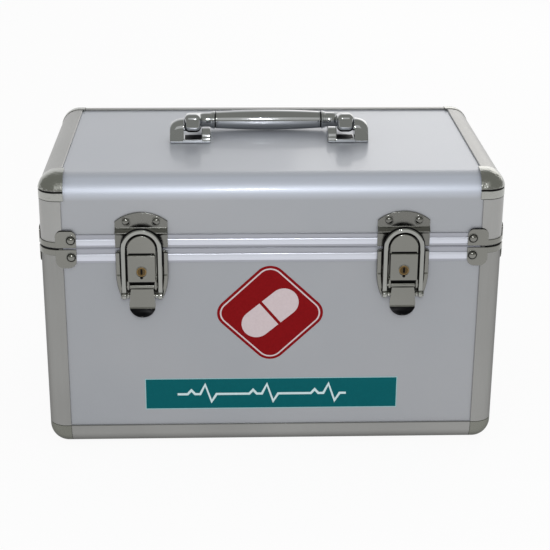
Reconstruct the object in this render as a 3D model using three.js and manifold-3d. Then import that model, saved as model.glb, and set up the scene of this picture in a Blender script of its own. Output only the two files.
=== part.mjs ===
// A lockable first-aid and medicine case: faced board panels held in aluminium edge extrusions, a lid hinged
// at the back, two keyed toggle latches at the front, and a folding handle on the lid.
// Sizes are in millimetres. X runs across the front, Y from front to back, and Z up from the underside.
import * as THREE from "three";
import { RoundedBoxGeometry } from "three/addons/geometries/RoundedBoxGeometry.js";
import { mergeVertices } from "three/addons/utils/BufferGeometryUtils.js";
import Module from "manifold-3d";

// Case
const caseWidth = 356;
const caseDepth = 216;
const caseHeight = 226;
const lidDepth = 57.6;
const seamGap = 0.8;

// Clearances, and how far a cut runs past the face it cuts
const fitGap = 0.3;
const overrun = 2;
const weldDistance = 0.0001;

// Panels
const panelThickness = 4;
const lidBendRadius = 16.5;

// Edge extrusions, whose section holds a panel in each of two slots
const edgeFace = 18;
const edgeRadius = 15;
const edgeWall = 1.2;

// Corner pieces
const baseCornerSize = 18;
const lidCornerSize = 20;
const lidCornerProud = 0.5;
const lidSkirtProud = 0.2;
const lidSkirtHeight = 6.4;
const lidCornerGroove = 0.8;

// Rim frames: a rail along each side, joined by an inner wall that runs on behind the corner posts
const rimWall = 1.2;
const baseRailHeight = 11.6;
const lidRailHeight = 10.4;
const railGrip = 4;
const railLipInset = 0.6;
const railBandInset = 0.25;
const railGrooveInset = 0.9;
const baseBeadLow = 1.4;
const baseBeadHigh = 7.2;
const baseBandLow = 8.4;
const lidBandHigh = 2.4;
const lidBeadLow = 3.6;
const lidBeadHigh = 8.8;
const tongueInset = 2.8;
const tongueThickness = 1.4;
const tongueHeight = 3;

// Corner clips beside the seam, on the lid and on the base
const clipThickness = 0.8;
const clipStart = 12;
const clipLength = 16;
const clipRivetPlace = 24;
const clipSeamDrop = 0.4;
const lidClipHeight = 13.2;
const lidClipRound = 3;
const lidClipRivetHeight = 6.4;
const lidStrapHeight = 4.6;
const baseClipHeight = 14.8;
const baseClipRound = 5;
const baseClipRivetDepth = 6.4;
const baseStrapTop = 1;
const baseStrapBottom = 5;
const clipRivetRadius = 3.5;
const clipRivetHeight = 1.9;
const clipEndRivetHeight = 0.4;

// Latches, measured down from the top of the base and out from its front face
const latchInset = 78;
const plateThickness = 1.2;
const latchHalfWidth = 20;
const latchPlateTop = 0.8;
const latchPlateShoulder = 19.4;
const latchPlateBottom = 39.4;
const latchPlateFootHalf = 16;
const latchPlateRound = 3;
const ribInner = 16.3;
const ribWidth = 4.2;
const ribReach = 4;
const housingHalfWidth = 10.5;
const housingTop = 1.7;
const housingBottom = 23.6;
const housingReach = 10.6;
const housingBevel = 0.6;
const domeRadius = 10.8;
const domeReach = 8;
const domeBack = 4.3;
const domeGroove = 0.9;
const archRise = 2.2;
const lockDepth = 14.9;
const lockRadius = 3.75;
const lockProud = 0.4;
const lockLength = 7.6;
const keySlotWidth = 1.4;
const keySlotHeight = 5.2;
const keySlotDepth = 3;
const keyNotchRadius = 1.1;
const keyNotchDrop = 4.7;
const earInner = 9.6;
const earThickness = 1.6;
const earRadius = 3.2;
const leverPivotDepth = 28.2;
const leverPivotReach = 6.4;
const leverPinRadius = 1.4;
const leverKnuckleRadius = 2.4;
const leverPinEnd = 11.5;
const leverThickness = 1.2;
const leverTopHalf = 8.4;
const leverFootHalf = 10;
const leverStraightDepth = 42.4;
const leverCurlRadius = 11;
const leverTipHeight = 8.4;
const bailPivotDepth = 35.7;
const bailPivotReach = 6.8;
const bailPinRadius = 1.5;
const bailEyeRadius = 3;
const bailInnerRadius = 12;
const bailWidth = 3.5;
const bailThickness = 2.4;

// Latch keepers on the lid, measured up from the lid's lower edge
const keeperBottom = 0.6;
const keeperShoulder = 21.1;
const keeperTop = 28.3;
const keeperRidgeLow = 10.4;
const keeperRidgeHigh = 15.2;
const keeperRidgeReach = 3.9;
const keeperJoggleLow = 10.6;
const keeperJoggleHigh = 13.2;
const keeperRivetSpacing = 23;
const keeperRivetHeight = 21.1;
const keeperRivetRadius = 3;
const keeperRivetRise = 1.6;

// Hinges on the back
const hingeInset = 73;
const hingeWidth = 52;
const hingeKnuckleRadius = 3;
const hingePinRadius = 1.5;
const hingeKnuckleLength = 13;
const hingeLeafThickness = 1.2;
const hingeLeafHeight = 17;
const hingeRivetSpacing = 34;
const hingeRivetRadius = 2.6;
const hingeRivetRise = 1.3;

// Folding handle, with its pivot set above the lid panel and in front of the case's middle
const handlePivotHeight = 10.4;
const handlePivotForward = 5.5;
const handleArmPlace = 62;
const handleTiltDegrees = 10.5;
const armLift = 4.1;
const armWidth = 13.8;
const armHeight = 14.8;
const armCorner = 4.4;
const armFront = 7.4;
const armBack = 15;
const handleReach = 31.5;
const elbowRadius = 6.2;
const elbowStart = 10;
const elbowBend = 12;
const neckEnd = 46;
const gripRadius = 8.3;
const gripEndRadius = 6.9;
const gripBeadRadius = 7.6;
const gripBeadWidth = 1.6;
const gripGroove = 0.9;
const handlePinRadius = 2.5;
const mountInner = 47.6;
const mountOuter = 80.5;
const mountFront = 9.5;
const mountFoot = 1.9;
const mountDomeRadius = 8;
const mountCheekHeight = 10.9;
const mountOuterShoulder = 7;
const mountPinDepth = 5;

// Lining, lift-out tray and lid pad
const liningThickness = 3;
const padThickness = 3;
const trayDepth = 42;
const trayWall = 2;
const trayFlange = 2;
const trayFlangeThickness = 2;
const trayCornerRadius = 6;
const trayFrontCells = 3;
const trayBackCells = 2;
const trayGripLength = 110;
const trayGripRise = 18;
const trayGripSlotLength = 80;
const trayGripSlotHeight = 11;
const trayGripBar = 5;

// Facets on round forms
const edgeFacets = 4;
const ballFacets = 3;
const smallFacets = 8;
const pinFacets = 12;
const gripFacets = 16;

// Sizes that follow from the ones above
const slotWidth = panelThickness + 2 * fitGap;
const slotOuter = edgeWall;
const slotInner = edgeWall + slotWidth;
const edgeDepth = slotInner + edgeWall;
const panelInset = edgeWall + fitGap;
const panelMargin = edgeRadius + fitGap;
const seamHeight = caseHeight - lidDepth;
const baseTop = seamHeight - seamGap / 2;
const lidBottom = seamHeight + seamGap / 2;
const lidHeight = caseHeight - lidBottom;
const rimOuter = edgeDepth + fitGap;
const rimInner = rimOuter + rimWall;
const liningOuter = edgeDepth + fitGap;
const liningInner = liningOuter + liningThickness;
const lidTop = lidHeight - panelInset;
const hingeAxisReach = fitGap + hingeKnuckleRadius;
const latchFrontReach = fitGap + plateThickness;
const latchPlace = caseWidth / 2 - latchInset;
const hingePlace = caseWidth / 2 - hingeInset;
const bailOuterRadius = bailInnerRadius + bailWidth;

const metal = (color, roughness, metalness) =>
  new THREE.MeshStandardMaterial({ color, roughness, metalness });
const materials = {
  panel: metal(0xa9abae, 0.45, 0.6),
  edge: metal(0x98989a, 0.35, 0.9),
  rail: metal(0xa8a8ae, 0.3, 0.9),
  nickel: metal(0x8c8c84, 0.2, 1),
  chrome: metal(0xc8cacc, 0.08, 1),
  brass: metal(0xb08a4a, 0.3, 1),
  lining: metal(0x2a2c30, 0.95, 0),
  tray: metal(0xd5d8da, 0.5, 0),
};

const wasm = await Module();
wasm.setup();

// Booleans on three.js geometry

function toSolid(geometry) {
  const loose = geometry.index ? geometry.toNonIndexed() : geometry;
  const bare = new THREE.BufferGeometry();
  bare.setAttribute("position", loose.getAttribute("position"));
  const merged = mergeVertices(bare, weldDistance);
  const vertProperties = merged.getAttribute("position").array;
  const triVerts = new Uint32Array(merged.index.array);
  return new wasm.Manifold(new wasm.Mesh({ numProp: 3, vertProperties, triVerts }));
}

function toGeometry(solid) {
  const mesh = solid.getMesh();
  const geometry = new THREE.BufferGeometry();
  geometry.setAttribute("position", new THREE.BufferAttribute(mesh.vertProperties, mesh.numProp));
  geometry.setIndex(new THREE.BufferAttribute(mesh.triVerts, 1));
  return geometry;
}

function join(first, ...others) {
  return toGeometry(others.reduce((sum, other) => sum.add(toSolid(other)), toSolid(first)));
}

function cut(body, ...tools) {
  return toGeometry(tools.reduce((left, tool) => left.subtract(toSolid(tool)), toSolid(body)));
}

function common(first, second) {
  return toGeometry(toSolid(first).intersect(toSolid(second)));
}

// Basic forms

function outline(points) {
  const shape = new THREE.Shape();
  shape.moveTo(...points[0]);
  points.slice(1).forEach((point) => shape.lineTo(...point));
  return shape;
}

function rectangle(left, bottom, right, top) {
  return outline([
    [left, bottom],
    [right, bottom],
    [right, top],
    [left, top],
  ]);
}

// A rectangle whose corners are rounded, each by its own radius: lower left, lower right, upper right, upper left
function roundedRectangle(left, bottom, right, top, [lowLeft, lowRight, highRight, highLeft]) {
  const shape = new THREE.Shape();
  const quarter = Math.PI / 2;
  shape.moveTo(left + lowLeft, bottom);
  shape.lineTo(right - lowRight, bottom);
  if (lowRight) shape.absarc(right - lowRight, bottom + lowRight, lowRight, -quarter, 0, false);
  shape.lineTo(right, top - highRight);
  if (highRight) shape.absarc(right - highRight, top - highRight, highRight, 0, quarter, false);
  shape.lineTo(left + highLeft, top);
  if (highLeft) shape.absarc(left + highLeft, top - highLeft, highLeft, quarter, 2 * quarter, false);
  shape.lineTo(left, bottom + lowLeft);
  if (lowLeft) shape.absarc(left + lowLeft, bottom + lowLeft, lowLeft, 2 * quarter, 3 * quarter, false);
  return shape;
}

function extrude(shape, depth, curveSegments = edgeFacets) {
  return new THREE.ExtrudeGeometry(shape, { depth, bevelEnabled: false, curveSegments });
}

// A shape drawn in X and Y, between two heights
function slab(shape, low, high, facets) {
  return extrude(shape, high - low, facets).translate(0, 0, low);
}

// A shape drawn in X and Z, between two depths
function plate(shape, near, far, facets) {
  return extrude(shape, far - near, facets).rotateX(Math.PI / 2).translate(0, far, 0);
}

// A shape drawn in Y and Z, between two places across
function bar(shape, start, end, facets) {
  return extrude(shape, end - start, facets).rotateX(Math.PI / 2).rotateZ(Math.PI / 2).translate(start, 0, 0);
}

function block(x0, x1, y0, y1, z0, z1) {
  const box = new THREE.BoxGeometry(x1 - x0, y1 - y0, z1 - z0);
  return box.translate((x0 + x1) / 2, (y0 + y1) / 2, (z0 + z1) / 2);
}

// A rod along X, round the point y, z
function rod(x0, x1, y, z, radius, facets = pinFacets) {
  const cylinder = new THREE.CylinderGeometry(radius, radius, x1 - x0, facets);
  return cylinder.rotateZ(Math.PI / 2).translate((x0 + x1) / 2, y, z);
}

// A rod along Y, round the point x, z
function stud(x, y0, y1, z, radius, facets = pinFacets) {
  const cylinder = new THREE.CylinderGeometry(radius, radius, y1 - y0, facets);
  return cylinder.translate(x, (y0 + y1) / 2, z);
}

// A domed rivet head that stands up along Y from just under its seat
function rivetHead(radius, rise, root) {
  const arcShares = [0, 0.35, 0.7, 1];
  const arc = arcShares.map((share) => {
    const angle = (share * Math.PI) / 2;
    return new THREE.Vector2(radius * Math.cos(angle), rise * Math.sin(angle));
  });
  arc[arc.length - 1].x = 0;
  const profile = [new THREE.Vector2(0, -root), new THREE.Vector2(radius, -root), ...arc];
  return new THREE.LatheGeometry(profile, smallFacets);
}

// Names of the four sides, going round from the front, and of the corner where each side starts
const sideNames = ["front", "right", "back", "left"];
const cornerNames = ["front_left", "front_right", "back_right", "back_left"];
const sideLengths = [caseWidth, caseDepth, caseWidth, caseDepth];
const cornerPlaces = [
  [-caseWidth / 2, -caseDepth / 2],
  [caseWidth / 2, -caseDepth / 2],
  [caseWidth / 2, caseDepth / 2],
  [-caseWidth / 2, caseDepth / 2],
];

function piece(name, geometry, material) {
  const shown = geometry.index ? geometry.toNonIndexed() : geometry;
  shown.computeVertexNormals();
  const mesh = new THREE.Mesh(shown, material);
  mesh.name = name;
  return mesh;
}

// A frame at a corner, with X along the side that starts there and Y into the case
function sideFrame(index) {
  const frame = new THREE.Group();
  frame.position.set(...cornerPlaces[index], 0);
  frame.rotation.z = (index * Math.PI) / 2;
  return frame;
}

// Edge extrusions

function edgeSection() {
  const shape = outline([
    [edgeFace, 0],
    [edgeFace, slotOuter],
    [edgeRadius, slotOuter],
    [edgeRadius, slotInner],
    [edgeFace, slotInner],
    [edgeFace, edgeDepth],
    [edgeDepth, edgeDepth],
    [edgeDepth, edgeFace],
    [slotInner, edgeFace],
    [slotInner, edgeRadius],
    [slotOuter, edgeRadius],
    [slotOuter, edgeFace],
    [0, edgeFace],
    [0, edgeRadius],
  ]);
  shape.absarc(edgeRadius, edgeRadius, edgeRadius, Math.PI, 1.5 * Math.PI, false);
  return shape;
}

function cornerPost(bottom, top) {
  return slab(edgeSection(), bottom, top);
}

function edgeAlong(start, end) {
  return bar(edgeSection(), start, end);
}

// Corner pieces: a shell with one ball corner, at the origin, that opens along +X, +Y and +Z

function roundedCube(offset, size) {
  const side = 4 * size;
  const cube = new RoundedBoxGeometry(side, side, side, ballFacets, edgeRadius - offset);
  const middle = side / 2 + offset;
  return cube.translate(middle, middle, middle);
}

function cornerShell(size, proud) {
  const reach = -proud - overrun;
  const shell = cut(roundedCube(-proud, size), roundedCube(edgeWall, size));
  return common(shell, block(reach, size, reach, size, reach, size));
}

// A square column with one rounded edge, whose faces lie at an offset from the case's faces
function roundedColumn(offset, size, low, high) {
  const far = 2 * size;
  const shape = outline([
    [far, offset],
    [far, far],
    [offset, far],
    [offset, edgeRadius],
  ]);
  shape.absarc(edgeRadius, edgeRadius, edgeRadius - offset, Math.PI, 1.5 * Math.PI, false);
  return slab(shape, low, high);
}

// What lies outside the column, so that a band of the shell can be turned down to it
function turnedBand(offset, size, low, high) {
  const reach = -lidCornerProud - overrun;
  const around = block(reach, size + overrun, reach, size + overrun, low, high);
  return cut(around, roundedColumn(offset, size, low - overrun, high + overrun));
}

function lidCorner() {
  const shell = cornerShell(lidCornerSize, lidCornerProud).rotateX(-Math.PI / 2);
  const skirtTop = lidSkirtHeight - lidCornerSize;
  const skirt = turnedBand(-lidSkirtProud, lidCornerSize, -lidCornerSize - overrun, skirtTop);
  const groove = turnedBand(0, lidCornerSize, skirtTop, skirtTop + lidCornerGroove);
  return cut(shell, skirt, groove);
}

// Rim frames. A rail's section is drawn with Y into the case and Z from the panel towards the seam.

function addBead(shape, low, high) {
  const middle = (low + high) / 2;
  shape.lineTo(railLipInset, low);
  shape.absellipse(railLipInset, middle, railLipInset, (high - low) / 2, 1.5 * Math.PI, 0.5 * Math.PI, true, 0);
}

function addBand(shape, low, high) {
  shape.lineTo(railGrooveInset, low);
  shape.lineTo(railBandInset, low);
  shape.lineTo(railBandInset, high);
}

function closeRail(shape, height, inner) {
  shape.lineTo(railLipInset, height);
  shape.lineTo(inner, height);
  shape.lineTo(inner, 0);
  shape.lineTo(slotInner, 0);
  shape.lineTo(slotInner, railGrip);
  shape.lineTo(slotOuter, railGrip);
  shape.lineTo(slotOuter, 0);
  return shape;
}

const rimMiddle = (rimOuter + rimInner) / 2;

function baseRailSection() {
  const shape = new THREE.Shape();
  shape.moveTo(railLipInset, 0);
  addBead(shape, baseBeadLow, baseBeadHigh);
  shape.lineTo(railGrooveInset, baseBeadHigh);
  addBand(shape, baseBandLow, baseRailHeight);
  return closeRail(shape, baseRailHeight, rimMiddle);
}

function lidRailSection() {
  const shape = new THREE.Shape();
  shape.moveTo(railBandInset, 0);
  shape.lineTo(railBandInset, lidBandHigh);
  shape.lineTo(railGrooveInset, lidBandHigh);
  shape.lineTo(railGrooveInset, lidBeadLow);
  addBead(shape, lidBeadLow, lidBeadHigh);
  return closeRail(shape, lidRailHeight, rimMiddle);
}

// The inner wall, as a ring round the mouth, in the frame of the case's middle
function rimWallRing(low, high) {
  const halfX = caseWidth / 2;
  const halfY = caseDepth / 2;
  const ring = rectangle(rimOuter - halfX, rimOuter - halfY, halfX - rimOuter, halfY - rimOuter);
  ring.holes.push(rectangle(rimInner - halfX, rimInner - halfY, halfX - rimInner, halfY - rimInner));
  return slab(ring, low, high);
}

// Something drawn along side 0 from its corner, moved round to a side of the case
function onSide(geometry, index) {
  return geometry.rotateZ((index * Math.PI) / 2).translate(...cornerPlaces[index], 0);
}

const railStart = edgeFace + fitGap;

// The tongue and its groove run along the front and the two ends, but not along the hinge side
const tongueSides = [0, 1, 3];

function baseRim() {
  const railLow = baseTop - baseRailHeight;
  const rails = sideLengths.map((length, index) =>
    onSide(bar(baseRailSection(), railStart, length - railStart).translate(0, 0, railLow), index),
  );
  const tongues = tongueSides.map((index) => {
    const section = rectangle(
      tongueInset,
      baseTop - tongueHeight,
      tongueInset + tongueThickness,
      baseTop + tongueHeight,
    );
    return onSide(bar(section, railStart, sideLengths[index] - railStart), index);
  });
  return join(rimWallRing(railLow, baseTop), ...rails, ...tongues);
}

function lidRim() {
  const rails = sideLengths.map((length, index) => {
    const rail = bar(lidRailSection(), -(length - railStart), -railStart);
    const turned = rail.rotateX(Math.PI).rotateZ(Math.PI);
    return onSide(turned.translate(0, 0, lidRailHeight), index);
  });
  const grooveHigh = tongueHeight - seamGap + fitGap;
  const grooves = tongueSides.map((index) => {
    const section = rectangle(
      tongueInset - fitGap,
      -overrun,
      tongueInset + tongueThickness + fitGap,
      grooveHigh,
    );
    return onSide(bar(section, 0, sideLengths[index]), index);
  });
  return cut(join(rimWallRing(0, lidRailHeight), ...rails), ...grooves);
}

// Corner clips: a tab on each face, joined by a strap round the post. The rivets are domed on the case's
// front and back, and lie nearly flat on its two ends.

function clipTab(low, high, rounds) {
  return roundedRectangle(clipStart, low, clipStart + clipLength, high, rounds);
}

function clip(tab, strapLow, strapHigh, rivetPlace, index) {
  const outer = -fitGap - clipThickness;
  const strap = new THREE.Shape();
  const outerRadius = edgeRadius - outer;
  strap.absarc(edgeRadius, edgeRadius, outerRadius, Math.PI, 1.5 * Math.PI, false);
  strap.absarc(edgeRadius, edgeRadius, edgeRadius + fitGap, 1.5 * Math.PI, Math.PI, true);
  const rivet = (height) => rivetHead(clipRivetRadius, height, clipThickness / 2);
  const acrossFront = index % 2 === 0;
  const alongRise = acrossFront ? clipRivetHeight : clipEndRivetHeight;
  const asideRise = acrossFront ? clipEndRivetHeight : clipRivetHeight;
  return join(
    plate(tab, outer, -fitGap),
    bar(tab, outer, -fitGap),
    slab(strap, strapLow, strapHigh),
    rivet(alongRise).rotateX(Math.PI).translate(clipRivetPlace, outer, rivetPlace),
    rivet(asideRise).rotateZ(Math.PI / 2).translate(outer, clipRivetPlace, rivetPlace),
  );
}

function baseClip(index) {
  const high = baseTop - clipSeamDrop;
  const tab = clipTab(high - baseClipHeight, high, [baseClipRound, baseClipRound, 0, 0]);
  return clip(tab, baseTop - baseStrapBottom, baseTop - baseStrapTop, baseTop - baseClipRivetDepth, index);
}

function lidClip(index) {
  const tab = clipTab(clipSeamDrop, clipSeamDrop + lidClipHeight, [0, 0, lidClipRound, lidClipRound]);
  return clip(tab, clipSeamDrop, clipSeamDrop + lidStrapHeight, lidClipRivetHeight, index);
}

// Latch pieces, drawn round the latch's middle, with Y = 0 at the front face and Z = 0 at the base's top

const housingFront = -housingReach;
const plateFront = -latchFrontReach;
const plateMiddle = plateFront + plateThickness / 2;

// The plate's face, drawn in from its edge by an inset
function latchPlateFace(inset) {
  const half = latchHalfWidth - inset;
  const foot = latchPlateFootHalf - inset;
  const top = -latchPlateTop - inset;
  const bottom = -latchPlateBottom + inset;
  const round = latchPlateRound;
  const shape = new THREE.Shape();
  shape.moveTo(-foot, bottom);
  shape.lineTo(foot, bottom);
  shape.quadraticCurveTo(half, (bottom - latchPlateShoulder) / 2, half, -latchPlateShoulder);
  shape.lineTo(half, top - round);
  shape.quadraticCurveTo(half, top, half - round, top);
  shape.lineTo(round - half, top);
  shape.quadraticCurveTo(-half, top, -half, top - round);
  shape.lineTo(-half, -latchPlateShoulder);
  shape.quadraticCurveTo(-half, (bottom - latchPlateShoulder) / 2, -foot, bottom);
  return shape;
}

// A rib drawn a little past the plate's edge, which trims it
function latchRib(side) {
  const shape = new THREE.Shape();
  const middle = side * (ribInner + ribWidth / 2);
  const half = ribWidth / 2;
  const rise = ribReach - latchFrontReach;
  shape.moveTo(middle - half, plateMiddle);
  shape.absellipse(middle, plateFront, half, rise, Math.PI, 2 * Math.PI, false, 0);
  shape.lineTo(middle + half, plateMiddle);
  return slab(shape, -latchPlateBottom - overrun, overrun);
}

function latchPlate() {
  const skirtTop = -baseRailHeight - fitGap;
  const skirt = cut(
    plate(latchPlateFace(0), plateMiddle, panelInset - fitGap),
    plate(latchPlateFace(plateThickness), -latchFrontReach, panelInset + overrun),
    block(-latchPlateBottom, latchPlateBottom, -latchPlateBottom, latchPlateBottom, skirtTop, overrun),
  );
  const outline = plate(latchPlateFace(0), -ribReach - overrun, overrun);
  const ribs = [-1, 1].map((side) => common(latchRib(side), outline));
  return join(plate(latchPlateFace(0), plateFront, -fitGap), skirt, ...ribs, lockHousing());
}

function lockHousing() {
  const half = housingHalfWidth - housingBevel;
  const face = rectangle(-half, housingBevel - housingBottom, half, -housingTop - housingBevel);
  const body = new THREE.ExtrudeGeometry(face, {
    depth: housingReach - 2 * housingBevel + plateMiddle,
    bevelThickness: housingBevel,
    bevelSize: housingBevel,
    bevelSegments: 1,
  });
  const boreEnd = lockLength - lockProud - housingReach + fitGap;
  const notch = -lockDepth - keyNotchDrop;
  return cut(
    join(body.rotateX(Math.PI / 2).translate(0, plateMiddle - housingBevel, 0), catchDome(), latchEar(1), latchEar(-1)),
    stud(0, housingFront - overrun, boreEnd, -lockDepth, lockRadius + fitGap),
    stud(0, housingFront - overrun, housingFront + keySlotDepth, notch, keyNotchRadius, smallFacets),
  );
}

// The dome over the housing, under the bail's arch, with a groove along the housing's top
function catchDome() {
  const face = new THREE.Shape();
  const foot = -housingTop - housingBevel;
  face.absarc(0, archRise, domeRadius, 0, Math.PI, false);
  face.lineTo(-domeRadius, foot);
  face.lineTo(domeRadius, foot);
  const dome = plate(face, -domeReach, plateMiddle, smallFacets);
  const grooveBack = domeGroove - domeReach;
  const wide = 2 * domeRadius;
  return cut(
    dome,
    block(-wide, wide, -domeReach - overrun, grooveBack, foot - overrun, domeGroove - housingTop),
    block(-wide, wide, -domeBack, overrun, -latchPlateTop + fitGap, wide),
  );
}

// An ear beside the lever, with the hole that its pin turns in
function latchEar(side) {
  const shape = new THREE.Shape();
  const top = 2 * housingBevel - housingBottom;
  shape.moveTo(-leverPivotReach - earRadius, top);
  shape.absarc(-leverPivotReach, -leverPivotDepth, earRadius, Math.PI, 1.5 * Math.PI, false);
  shape.lineTo(plateMiddle, -leverPivotDepth - earRadius);
  shape.lineTo(plateMiddle, top);
  const hole = new THREE.Path();
  hole.absarc(-leverPivotReach, -leverPivotDepth, leverPinRadius + fitGap, 0, 2 * Math.PI, true);
  shape.holes.push(hole);
  const start = side > 0 ? earInner : -earInner - earThickness;
  return bar(shape, start, start + earThickness);
}

// The lever hangs from its pin and curls outward at its tip
function latchLever() {
  const front = -leverPivotReach - leverKnuckleRadius;
  const back = front + leverThickness;
  const curlTop = -leverStraightDepth;
  const curlAngle = Math.asin(leverTipHeight / leverCurlRadius);
  const centre = front - leverCurlRadius;
  const profile = outline([
    [back, -leverPivotDepth],
    [front, -leverPivotDepth],
  ]);
  profile.lineTo(front, curlTop);
  profile.absarc(centre, curlTop, leverCurlRadius, 0, -curlAngle, true);
  profile.absarc(centre, curlTop, leverCurlRadius + leverThickness, -curlAngle, 0, false);
  const face = new THREE.Shape();
  face.moveTo(-leverTopHalf, -leverPivotDepth);
  face.lineTo(-leverFootHalf, curlTop);
  face.absellipse(0, curlTop, leverFootHalf, leverTipHeight + leverThickness, Math.PI, 2 * Math.PI, false, 0);
  face.lineTo(leverTopHalf, -leverPivotDepth);
  const width = leverCurlRadius + leverPivotReach;
  const tab = common(
    bar(profile, -width, width),
    plate(face, -2 * width, overrun, smallFacets),
  );
  const knuckle = earInner - fitGap;
  return join(
    tab,
    rod(-knuckle, knuckle, -leverPivotReach, -leverPivotDepth, leverKnuckleRadius),
    rod(-leverPinEnd, leverPinEnd, -leverPivotReach, -leverPivotDepth, leverPinRadius),
    rod(fitGap - ribInner, ribInner - fitGap, -bailPivotReach, -bailPivotDepth, bailPinRadius),
  );
}

// The bail: an arch on two legs, each with an eye round the lever's lower pin
function latchBail() {
  const arch = new THREE.Shape();
  arch.moveTo(bailOuterRadius, -bailPivotDepth);
  arch.absarc(0, archRise, bailOuterRadius, 0, Math.PI, false);
  arch.lineTo(-bailOuterRadius, -bailPivotDepth);
  arch.lineTo(-bailInnerRadius, -bailPivotDepth);
  arch.absarc(0, archRise, bailInnerRadius, Math.PI, 0, true);
  arch.lineTo(bailInnerRadius, -bailPivotDepth);
  const near = -bailPivotReach - bailThickness / 2;
  const strap = plate(arch, near, near + bailThickness, smallFacets + edgeFacets);
  const eye = (start) => rod(start, start + bailWidth, -bailPivotReach, -bailPivotDepth, bailEyeRadius);
  const hole = rod(-latchHalfWidth, latchHalfWidth, -bailPivotReach, -bailPivotDepth, bailPinRadius + fitGap);
  return cut(join(strap, eye(bailInnerRadius), eye(-bailOuterRadius)), hole);
}

function lockCylinder() {
  const front = -housingReach - lockProud;
  const slot = block(
    -keySlotWidth / 2,
    keySlotWidth / 2,
    front - overrun,
    front + keySlotDepth,
    -keySlotHeight / 2,
    keySlotHeight / 2,
  );
  return cut(stud(0, front, front + lockLength, 0, lockRadius), slot);
}

// The keeper, with Z = 0 at the lid's lower edge: its foot lies on the rail and its head on the panel

function latchKeeper() {
  const headBack = panelInset - fitGap;
  const headFront = headBack - plateThickness;
  const profile = outline([
    [-fitGap, keeperBottom],
    [-fitGap, keeperJoggleLow],
    [headBack, keeperJoggleHigh],
    [headBack, keeperTop],
    [headFront, keeperTop],
    [headFront, keeperRidgeHigh],
  ]);
  profile.bezierCurveTo(
    -keeperRidgeReach,
    keeperRidgeHigh,
    -keeperRidgeReach,
    keeperRidgeLow,
    plateFront,
    keeperRidgeLow,
  );
  profile.lineTo(plateFront, keeperBottom);
  const rise = keeperTop - keeperShoulder;
  const radius = (latchHalfWidth ** 2 + rise ** 2) / (2 * rise);
  const sweep = Math.asin(latchHalfWidth / radius);
  const face = outline([
    [-latchHalfWidth, keeperBottom],
    [latchHalfWidth, keeperBottom],
  ]);
  face.absarc(0, keeperTop - radius, radius, Math.PI / 2 - sweep, Math.PI / 2 + sweep, false);
  const body = common(
    bar(profile, -latchHalfWidth - overrun, latchHalfWidth + overrun, edgeFacets + 2),
    plate(face, -keeperRidgeReach - overrun, overrun + panelInset, smallFacets),
  );
  const rivets = [-1, 1].map((side) => {
    const head = rivetHead(keeperRivetRadius, keeperRivetRise, plateThickness / 2).rotateX(Math.PI);
    return head.translate((side * keeperRivetSpacing) / 2, headFront, keeperRivetHeight);
  });
  return join(body, ...rivets);
}

// Hinge leaves, round the hinge's middle, with the axis at Y = 0 and Z = 0 and +Y away from the case

const leafNear = -hingeKnuckleRadius;
const leafFar = hingeLeafThickness - hingeKnuckleRadius;
const leafStart = hingeKnuckleRadius + fitGap;

// A knuckle and the strap that joins it to the leaf above
function hingeKnuckle(start, end) {
  const shape = new THREE.Shape();
  const strapTop = leafStart + hingeLeafThickness;
  shape.moveTo(leafNear, strapTop);
  shape.absarc(0, 0, hingeKnuckleRadius, Math.PI, 2 * Math.PI + Math.acos(leafFar / hingeKnuckleRadius), false);
  shape.lineTo(leafFar, strapTop);
  return bar(shape, start, end);
}

// The leaf that stands above the axis
function hingeLeaf(knuckleStarts, knuckleLength) {
  const half = hingeWidth / 2;
  const round = 2 * hingeKnuckleRadius;
  const face = roundedRectangle(-half, leafStart, half, hingeLeafHeight, [0, 0, round, round]);
  const knuckles = knuckleStarts.map((start) => hingeKnuckle(start, start + knuckleLength));
  const rivets = [-1, 1].map((side) => {
    const head = rivetHead(hingeRivetRadius, hingeRivetRise, hingeLeafThickness / 2);
    return head.translate((side * hingeRivetSpacing) / 2, leafFar, (leafStart + hingeLeafHeight) / 2);
  });
  return join(plate(face, leafNear, leafFar), ...knuckles, ...rivets);
}

// The leaf below the axis, with the pin
function hingeBaseLeaf() {
  const end = hingeWidth / 2;
  const leaf = hingeLeaf([-end, end - hingeKnuckleLength], hingeKnuckleLength);
  return join(leaf, rod(-end, end, 0, 0, hingePinRadius)).rotateY(Math.PI);
}

function hingeLidLeaf() {
  const start = hingeKnuckleLength + fitGap - hingeWidth / 2;
  const leaf = hingeLeaf([start], -2 * start);
  return cut(leaf, rod(start - overrun, overrun - start, 0, 0, hingePinRadius + fitGap));
}

// Handle mounts, round the pivot's Y and Z, with X measured from the case's middle. The outer ear carries the
// handle's pin, and the lower inner one keeps the arm in line.

function handleMount() {
  const base = fitGap - handlePivotHeight;
  const footTop = base + mountFoot;
  const armInner = handleArmPlace - armWidth / 2 - fitGap;
  const armOuter = handleArmPlace + armWidth / 2 + fitGap;
  const ear = bar(mountEar(base, mountDomeRadius), armOuter, mountOuter);
  const pinHole = rod(armOuter - overrun, armOuter + mountPinDepth + fitGap, 0, 0, handlePinRadius + fitGap);
  return join(
    block(mountInner, mountOuter, -mountFront, mountFront, base, footTop),
    bar(mountEar(base, base + mountCheekHeight), mountInner, armInner),
    cut(common(ear, mountSlope(armOuter, base)), pinHole),
  );
}

// The side of an ear: it narrows from the foot to a round top
function mountEar(base, top) {
  const shape = new THREE.Shape();
  shape.moveTo(-mountFront, base);
  shape.lineTo(mountFront, base);
  shape.absarc(0, top - mountDomeRadius, mountDomeRadius, 0, Math.PI, false);
  return shape;
}

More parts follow.
